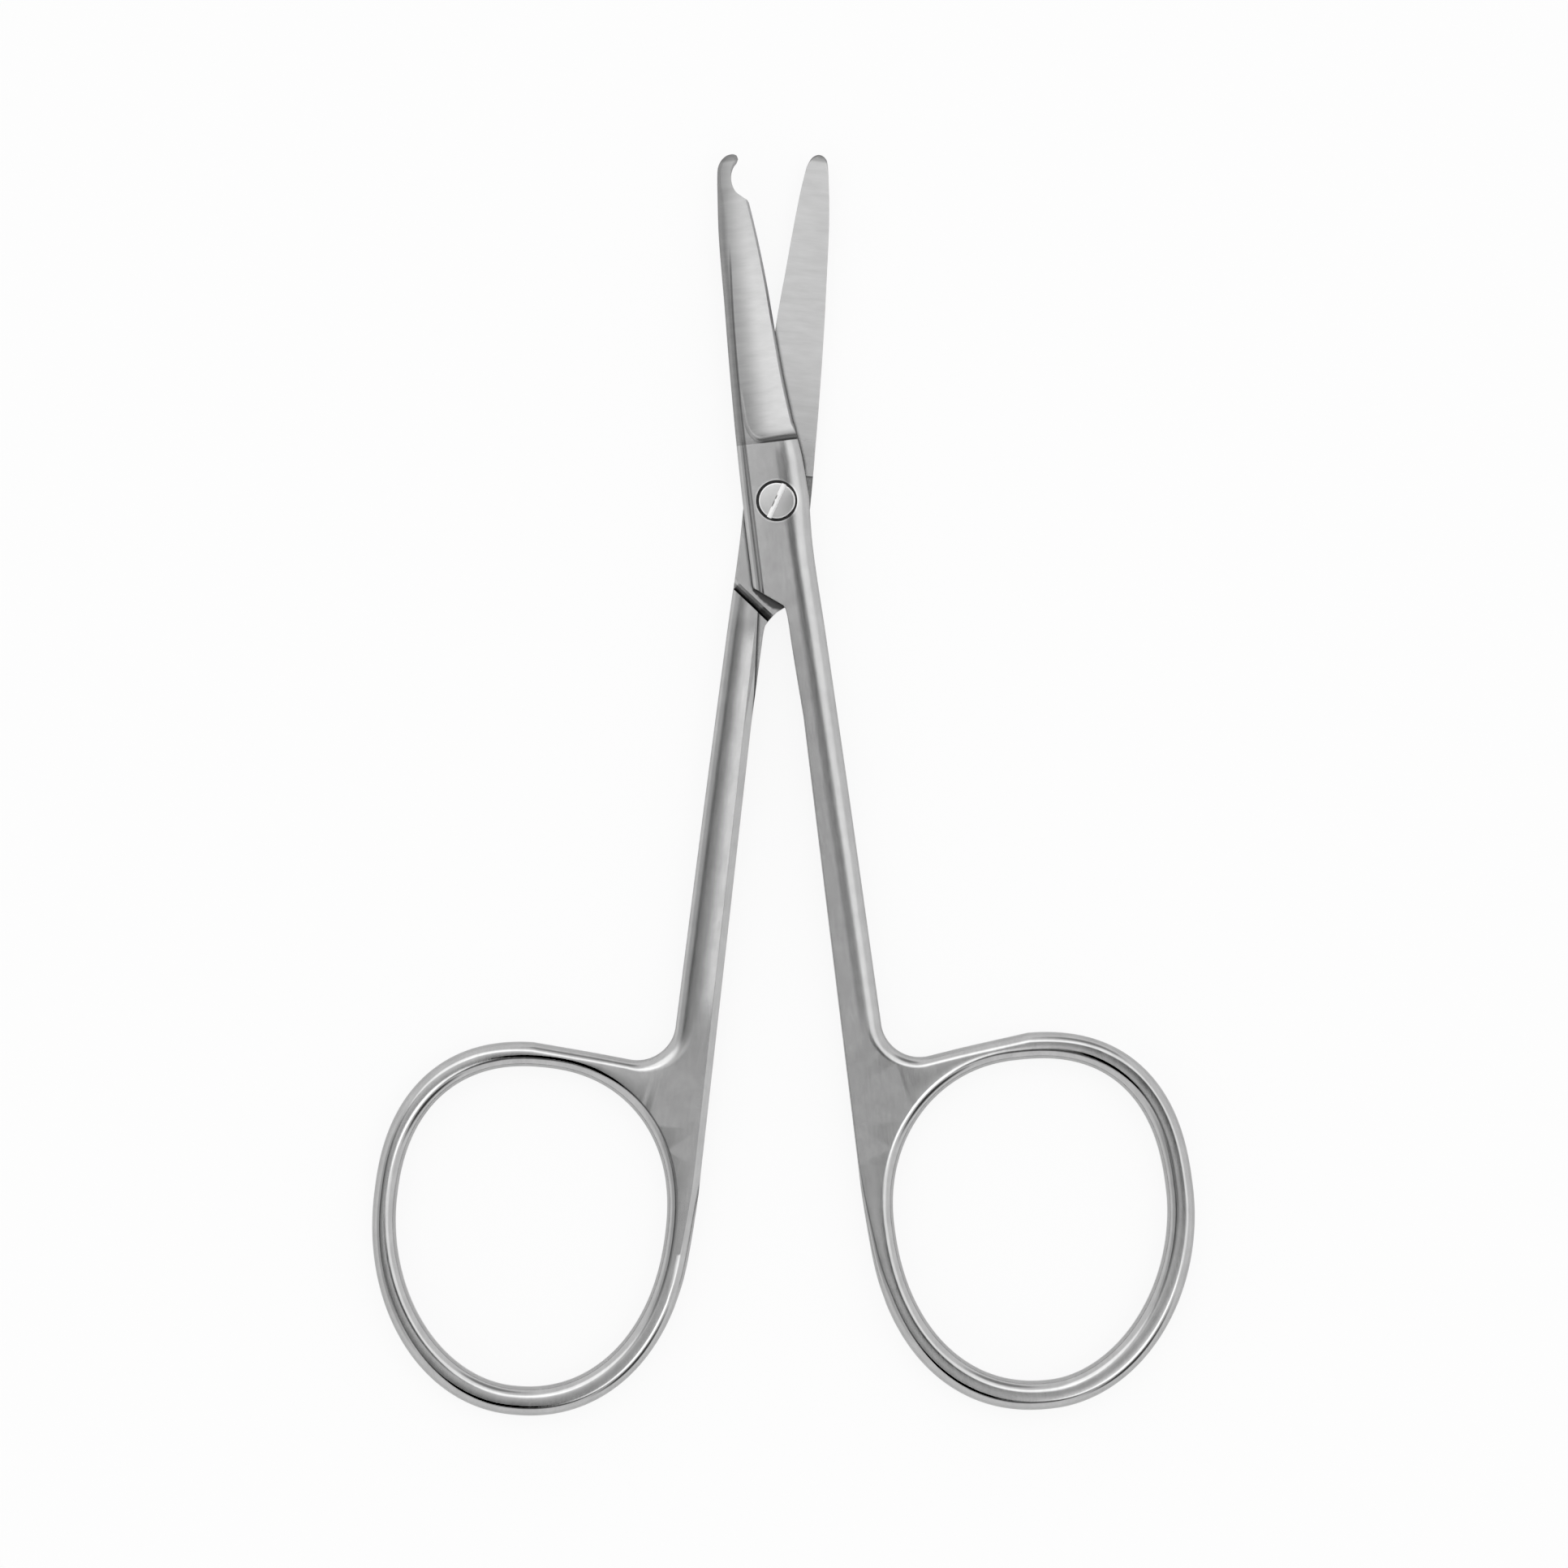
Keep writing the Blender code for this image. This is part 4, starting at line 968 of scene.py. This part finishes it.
def turned(name, profile):
    """A solid of revolution about Z, from its profile in the XZ plane."""
    mesh = bpy.data.meshes.new(name)
    mesh.from_pydata([(x, 0.0, z) for x, z in profile], [(i, i + 1) for i in range(len(profile) - 1)], [])
    thing = linked(name, mesh)
    turn = thing.modifiers.new("turn", "SCREW")
    turn.steps = ROUND_SIDES
    turn.render_steps = ROUND_SIDES
    turn.use_merge_vertices = True
    turn.merge_threshold = MERGE_DISTANCE
    apply_modifiers(thing)
    return thing


def pivot_screw():
    top = 2 * LAP_THICKNESS + LAP_CLEARANCE
    neck_end = LAP_THICKNESS - RELIEF_DEPTH + SCREW_CLEARANCE
    rim = HEAD_RADIUS - SCREW_EDGE
    crown = [(rim * i / CROWN_STEPS, top - HEAD_CROWN * (i / CROWN_STEPS) ** 2)
             for i in range(CROWN_STEPS + 1)]
    profile = crown + [(HEAD_RADIUS, top - HEAD_CROWN - SCREW_EDGE), (HEAD_RADIUS, top - HEAD_HEIGHT),
                       (NECK_RADIUS, top - HEAD_HEIGHT), (NECK_RADIUS, neck_end),
                       (THREAD_RADIUS, neck_end), (THREAD_RADIUS, SCREW_EDGE),
                       (THREAD_RADIUS - SCREW_EDGE, 0.0), (0.0, 0.0)]
    thing = turned("screw", profile)
    slot = prism("slot_cutter", [(-SLOT_WIDTH / 2, -OUTSIDE), (SLOT_WIDTH / 2, -OUTSIDE),
                                 (SLOT_WIDTH / 2, OUTSIDE), (-SLOT_WIDTH / 2, OUTSIDE)],
                 top - SLOT_DEPTH, top + OUTSIDE)
    for vert in slot.data.vertices:
        if vert.co.z < top:
            vert.co.z -= vert.co.x * math.tan(SLOT_LEAN)
    slot.rotation_euler.z = SLOT_ANGLE
    cut(thing, slot)
    return thing


# Materials

class Nodes:
    """A node tree with short calls for its nodes."""

    def __init__(self, tree):
        self.tree = tree
        tree.nodes.clear()

    def add(self, kind, inputs=(), **settings):
        node = self.tree.nodes.new("ShaderNode" + kind)
        for name, value in settings.items():
            setattr(node, name, value)
        for name, value in dict(inputs).items():
            if isinstance(value, bpy.types.NodeSocket):
                self.tree.links.new(value, node.inputs[name])
            else:
                node.inputs[name].default_value = value
        return node

    def math(self, operation, a, b=0.0):
        return self.add("Math", {0: a, 1: b}, operation=operation).outputs[0]

    def plus(self, a, b):
        return self.math("ADD", a, b)

    def minus(self, a, b):
        return self.math("SUBTRACT", a, b)

    def times(self, value, *factors):
        for factor in factors:
            value = self.math("MULTIPLY", value, factor)
        return value

    def apart(self, a, b):
        """How far two numbers are apart."""
        return self.math("ABSOLUTE", self.minus(a, b))

    def ramp(self, value, low, high, start=0.0, end=1.0):
        """The value's smooth way from low to high, as start to end."""
        return self.add("MapRange", {"Value": value, "From Min": low, "From Max": high,
                                     "To Min": start, "To Max": end},
                        interpolation_type="SMOOTHSTEP").outputs["Result"]

    def mix(self, share, a, b):
        return self.add("Mix", {0: share, 2: a, 3: b}, data_type="FLOAT").outputs[0]

    def rest(self):
        """The point's place on the resting scissors, which it keeps in every pose."""
        return self.add("TexCoord").outputs["Object"]

    def parts(self, vector):
        return self.add("SeparateXYZ", {0: vector}).outputs

    def turned(self, vector, angle):
        """The vector turned about Z."""
        return self.add("VectorRotate", {"Vector": vector, "Angle": angle},
                        rotation_type="Z_AXIS").outputs[0]

    def dot(self, a, b):
        return self.add("VectorMath", {0: a, 1: b}, operation="DOT_PRODUCT").outputs["Value"]

    def from_axis(self, x, y):
        return self.math("SQRT", self.plus(self.times(x, x), self.times(y, y)))

    def grain(self, place, across, along, layers):
        """Streaks this wide along X and this long along Y, in metres, from -1 to 1."""
        stretched = self.add("VectorMath", {0: place, 1: (1 / across, 1 / along, 1 / across)},
                             operation="MULTIPLY").outputs[0]
        noise = self.add("TexNoise", {"Vector": stretched, "Scale": 1.0, "Detail": layers,
                                      "Roughness": LAYER_STRENGTH}).outputs[0]
        return self.times(self.minus(noise, 0.5), 2.0)

    def shaded(self, value, mask, shade):
        return self.times(value, self.minus(1.0, self.times(mask, shade)))

    def crevice_shade_and_dirt(self):
        """1 in tight corners and gaps, 0 on open surfaces: where shade and dirt are painted."""
        openness = self.add("AmbientOcclusion", {"Distance": CREVICE_REACH}, samples=CREVICE_SAMPLES)
        return self.ramp(openness.outputs["AO"], CREVICE_OPEN, CREVICE_DARK)

    def metal(self, value, rough, height, relief):
        """Ends the tree in metal of this grey and roughness, with heights of this relief."""
        bump = self.add("Bump", {"Strength": 1.0, "Distance": relief, "Height": height})
        grey = self.add("CombineColor", {0: value, 1: value, 2: value})
        shader = self.add("BsdfPrincipled", {"Base Color": grey.outputs[0], "Metallic": 1.0,
                                             "Roughness": rough, "Normal": bump.outputs[0]})
        self.add("OutputMaterial", {"Surface": shader.outputs[0]})


def new_material(name):
    material = bpy.data.materials.new(name)
    material.use_nodes = True
    return material, Nodes(material.node_tree)


def hook_painted_shading(n, value, place):
    """Painted light and shade on the hook half: painted light over the ground face with painted shade
    towards its back, at its heel and over its neck, painted dark lines beside the back's bevel and along
    the shoulder, and a painted highlight round the counterbore."""
    x, y, z = place
    outer = n.ramp(z, *OUTER_FACE)
    # Painted shade at the foot of the ground face's heel
    foot = n.times(n.ramp(y, HEEL_Y - BREAK_EDGE, HEEL_Y + BREAK_EDGE),
                   n.ramp(y, HEEL_Y + HEEL_SHADE_END, HEEL_Y + BREAK_EDGE), outer,
                   n.ramp(x, *HEEL_SHADE_X))
    value = n.shaded(value, foot, HEEL_SHADE)
    # Painted light over the ground face, and painted shade across it, darker towards the back
    ground = n.times(n.ramp(y, HEEL_Y, HEEL_Y + BREAK_EDGE), outer)
    value = n.shaded(value, ground, LIT_GROUND_SHADE)
    value = n.shaded(value, n.times(ground, n.ramp(x, *GROUND_SHADE_X)), GROUND_SHADE)
    # Painted shade over the hook's neck
    value = n.shaded(value, n.ramp(y, *NECK_SHADE_Y), NECK_SHADE)
    # Painted dark line of shade beside the back's bevel
    bend = n.math("MAXIMUM", n.minus(y, HEEL_Y), 0.0)
    bend = n.times(bend, bend, BEVEL_LINE_BEND)
    line = n.ramp(n.apart(n.minus(x, bend), SPINE_BEVEL_WIDTH - JOINT_SPINE),
                  BEVEL_LINE_WIDTH, BEVEL_LINE_WIDTH / 3)
    line = n.times(line, n.ramp(y, *BEVEL_LINE_Y), outer)
    value = n.shaded(value, line, BEVEL_LINE_SHADE)
    # Painted dark band of shade beside the lit shoulder
    middle = n.plus(n.times(y, SHOULDER_LINE_SLOPE), SHOULDER_LINE_X)
    line = n.ramp(n.apart(x, middle), SHOULDER_LINE_WIDTH, SHOULDER_LINE_WIDTH / 4)
    ends = n.times(n.ramp(y, *SHOULDER_LINE_TOP), n.ramp(y, *SHOULDER_LINE_BOTTOM))
    value = n.shaded(value, n.times(line, outer, ends), SHOULDER_LINE_SHADE)
    # Painted highlight round the counterbore
    bore = HEAD_RADIUS + HEAD_GAP
    rim = n.times(n.ramp(n.from_axis(x, y), bore + BORE_HIGHLIGHT_WIDTH, bore), outer)
    return n.shaded(value, rim, BORE_RIM_HIGHLIGHT)


def plain_painted_shading(n, value, place):
    """Painted light along the shank and on the blade, painted shade with patchy stain in the sunk relief
    beside the joint, and a ragged painted shadow of the other lap's end on this lap."""
    x, y, z = place
    # Painted light along the shank and over the blade
    ends = n.times(n.ramp(y, *LIT_SHANK_BOTTOM), n.ramp(y, *LIT_SHANK_TOP))
    lit = n.times(n.ramp(x, *LIT_SHANK_LEFT), n.ramp(x, *LIT_SHANK_RIGHT), ends)
    value = n.shaded(value, lit, LIT_SHANK_SHADE)
    value = n.shaded(value, n.ramp(y, *LIT_BLADE_Y), LIT_BLADE_SHADE)
    rest = n.rest()
    # Painted shade, with patchy stain, in the sunk relief round the screw
    relief = n.ramp(n.apart(z, LAP_THICKNESS - RELIEF_DEPTH), RELIEF_DEPTH / 2, RELIEF_DEPTH / 4)
    patchy = n.ramp(n.grain(rest, *STAIN_AND_SHADE_MOTTLE), *RELIEF_PATCHES)
    value = n.shaded(value, n.times(relief, patchy), RELIEF_SHADE)
    # Ragged painted shadow of the other lap's end, on this lap just below it
    lap = n.turned(rest, -HOOK_HALF_ANGLE)
    lap_x = n.parts(lap)[0]
    below = n.minus(-HOOK_LAP_REACH, n.dot(lap, (math.sin(LAP_ANGLE), math.cos(LAP_ANGLE), 0.0)))
    ragged = n.times(n.grain(rest, *LAP_SHADOW_MOTTLE), LAP_SHADOW_RAGGED)
    share = n.math("DIVIDE", n.apart(lap_x, LAP_SHADOW_MIDDLE), LAP_SHADOW_SPAN)
    bulge = n.times(n.minus(1.0, n.times(share, share)), LAP_SHADOW_BULGE)
    width = n.plus(n.math("MAXIMUM", bulge, 0.0), LAP_SHADOW_WIDTH)
    lap_shadow = n.ramp(n.math("DIVIDE", n.plus(below, ragged), width), *LAP_SHADOW_FADE)
    face = n.times(n.ramp(n.apart(z, LAP_THICKNESS), RELIEF_DEPTH, RELIEF_DEPTH / 2),
                   n.ramp(below, *LAP_SHADOW_START), n.ramp(lap_x, *LAP_SHADOW_X))
    return n.shaded(value, n.times(lap_shadow, face), LAP_SHADOW_DARKNESS)


def brushed_steel(name, turn, painted_shading, soft_end=0.0):
    """Satin steel: brushed along the shanks and rings, ground across the blades."""
    material, n = new_material(name)
    along = n.turned(n.rest(), -turn)
    across = n.turned(along, math.pi / 2)
    place = n.parts(along)
    y = place["Y"]
    blade = n.ramp(y, *BLADE_START)
    ring = n.ramp(y, *RING_START)
    coarse = n.mix(blade, n.grain(along, *SHANK_COARSE), n.grain(across, *BLADE_COARSE))
    fine = n.mix(blade, n.grain(along, *SHANK_FINE), n.grain(across, *BLADE_FINE))
    mottle = n.mix(blade, n.grain(along, *SHANK_MOTTLE), n.grain(across, *BLADE_MOTTLE))
    pattern = n.plus(n.times(coarse, COARSE_CONTRAST), n.times(mottle, MOTTLE_CONTRAST))
    pattern = n.plus(n.plus(pattern, 1.0), n.times(fine, FINE_CONTRAST))
    # Painted shade over the round tips of the blades, then each half's painted light and shade
    cap = n.ramp(y, BLADE_LENGTH - CAP_REACH - TIP_ROUND, BLADE_LENGTH - CAP_REACH)
    value = painted_shading(n, n.shaded(n.times(pattern, STEEL_COLOUR), cap, CAP_SHADE), place)
    # Painted shade, and dirt, in corners and gaps
    value = n.mix(n.crevice_shade_and_dirt(), value, DIRT_AND_SHADE_GREY)
    rough = n.mix(ring, n.mix(blade, STEEL_ROUGHNESS, GROUND_ROUGHNESS), RING_ROUGHNESS)
    rough = n.plus(rough, n.plus(n.times(fine, FINE_ROUGHNESS), n.times(coarse, COARSE_ROUGHNESS)))
    rough = n.plus(rough, n.times(n.ramp(y, *HOOK_SOFT_Y), soft_end))
    n.metal(value, rough, fine, GRAIN_RELIEF)
    return material


def screw_steel(name):
    """Turned steel: fine rings about the screw's axis, a painted highlight round the rim, and a slot
    floor bright from wear and a painted highlight, with painted shadow along one side.
    """
    material, n = new_material(name)
    rest = n.rest()
    x, y, z = n.parts(rest)
    radius = n.from_axis(x, y)
    rings = n.grain(n.add("CombineXYZ", {0: radius, 1: z, 2: 0.0}).outputs[0], *SCREW_RINGS)
    mottle = n.grain(rest, *SCREW_MOTTLE)
    # Painted shade, and dirt, in the corners and gaps of the screw
    dirt_and_shade = n.crevice_shade_and_dirt()
    value = n.times(n.plus(n.times(mottle, SCREW_CONTRAST), 1.0), SCREW_COLOUR)
    # Painted highlight round the rim of the head
    rim = n.ramp(radius, HEAD_RADIUS - SCREW_EDGE - HEAD_HIGHLIGHT_WIDTH, HEAD_RADIUS - SCREW_EDGE)
    value = n.mix(n.mix(dirt_and_shade, rim, 0.0), value, WEAR_AND_HIGHLIGHT_GREY)
    # Patchy painted shadow along one side of the slot's floor
    side = n.ramp(n.parts(n.turned(rest, -SLOT_ANGLE))[0], *SLOT_SHADOW_X)
    patchy = n.ramp(n.grain(rest, *SLOT_MOTTLE), *SLOT_PATCHES)
    slot_value = n.shaded(WEAR_AND_HIGHLIGHT_GREY, n.times(side, patchy), SLOT_SHADOW)
    # The slot floor, bright from wear and a painted highlight; painted shade and dirt in the head's
    # corners
    top = 2 * LAP_THICKNESS + LAP_CLEARANCE
    slot = n.ramp(z, top - HEAD_CROWN - SCREW_EDGE, top - HEAD_CROWN - 2 * SCREW_EDGE)
    value = n.mix(slot, n.mix(dirt_and_shade, value, DIRT_AND_SHADE_GREY), slot_value)
    rough = n.mix(slot, n.plus(n.times(rings, FINE_ROUGHNESS), SCREW_ROUGHNESS), SLOT_ROUGHNESS)
    n.metal(value, rough, rings, SCREW_RELIEF)
    return material


# Studio

def direction(from_zenith, azimuth):
    a = math.radians(from_zenith)
    b = math.radians(azimuth)
    return Vector((math.sin(a) * math.cos(b), math.sin(a) * math.sin(b), math.cos(a)))


def studio_world():
    """An even white dome with soft boxes and dark cards, which show only in reflections."""
    world = bpy.data.worlds.new("studio")
    bpy.context.scene.world = world
    world.use_nodes = True
    n = Nodes(world.node_tree)
    way = n.add("TexCoord").outputs["Generated"]
    level = WORLD_LEVEL
    for from_zenith, azimuth, core, rim, gain in CARDS:
        towards = n.dot(way, direction(from_zenith, azimuth))
        lobe = n.ramp(towards, math.cos(math.radians(rim)), math.cos(math.radians(core)), 0.0, gain)
        level = n.plus(lobe, level)
    light = n.add("Background", {"Color": (1.0, 1.0, 1.0, 1.0), "Strength": level})
    white = n.add("Background", {"Color": (1.0, 1.0, 1.0, 1.0), "Strength": 1.0})
    camera = n.add("LightPath").outputs["Is Camera Ray"]
    both = n.add("MixShader", {0: camera, 1: light.outputs[0], 2: white.outputs[0]})
    n.add("OutputWorld", {"Surface": both.outputs[0]})


def studio_floor():
    """A pale floor that shows nearly white and keeps a soft shadow of the scissors."""
    bm = bmesh.new()
    bmesh.ops.create_grid(bm, x_segments=1, y_segments=1, size=FLOOR_REACH)
    floor = object_from(bm, "floor")
    floor.location.z = -FLOOR_DROP
    material, n = new_material("pale_floor")
    matt = n.add("BsdfDiffuse", {"Color": (FLOOR_COLOUR, FLOOR_COLOUR, FLOOR_COLOUR, 1.0)})
    glow = n.add("Emission", {"Color": (1.0, 1.0, 1.0, 1.0), "Strength": 1.0})
    camera = n.times(n.add("LightPath").outputs["Is Camera Ray"], FLOOR_WHITENESS)
    both = n.add("MixShader", {0: camera, 1: matt.outputs[0], 2: glow.outputs[0]})
    n.add("OutputMaterial", {"Surface": both.outputs[0]})
    floor.data.materials.append(material)


def studio_camera():
    data = bpy.data.cameras.new("camera")
    data.lens = LENS
    data.sensor_width = SENSOR
    data.clip_start = CLIP_START
    camera = linked("camera", data)
    middle = IMAGE_PIXELS / 2
    camera.location = ((middle - PIVOT_PIXEL[0]) * PIXEL, (PIVOT_PIXEL[1] - middle) * PIXEL,
                       FOCUS_HEIGHT + IMAGE_PIXELS * PIXEL * LENS / SENSOR)
    bpy.context.scene.camera = camera


# Putting it together

def dress():
    pieces = (
        (hook_half(), "hook_steel", "hook_half", "hook", "satin_steel",
         brushed_steel("hook_steel", HOOK_HALF_ANGLE, hook_painted_shading, HOOK_SOFTNESS)),
        (plain_half(), "plain_steel", "plain_half", "plain", "satin_steel",
         brushed_steel("plain_steel", -PLAIN_HALF_ANGLE, plain_painted_shading)),
        (pivot_screw(), "screw_steel", "pivot_screw", "plain", "screw_steel",
         screw_steel("turned_steel")),
    )
    for piece, name, node, body, slot, material in pieces:
        piece.name = name
        piece.data.name = name
        piece.data.materials.clear()
        piece.data.materials.append(material)
        shade(piece)
        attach(piece, body)
        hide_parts(node)


dress()
studio_world()
studio_floor()
studio_camera()
bpy.context.scene.view_settings.view_transform = "Standard"
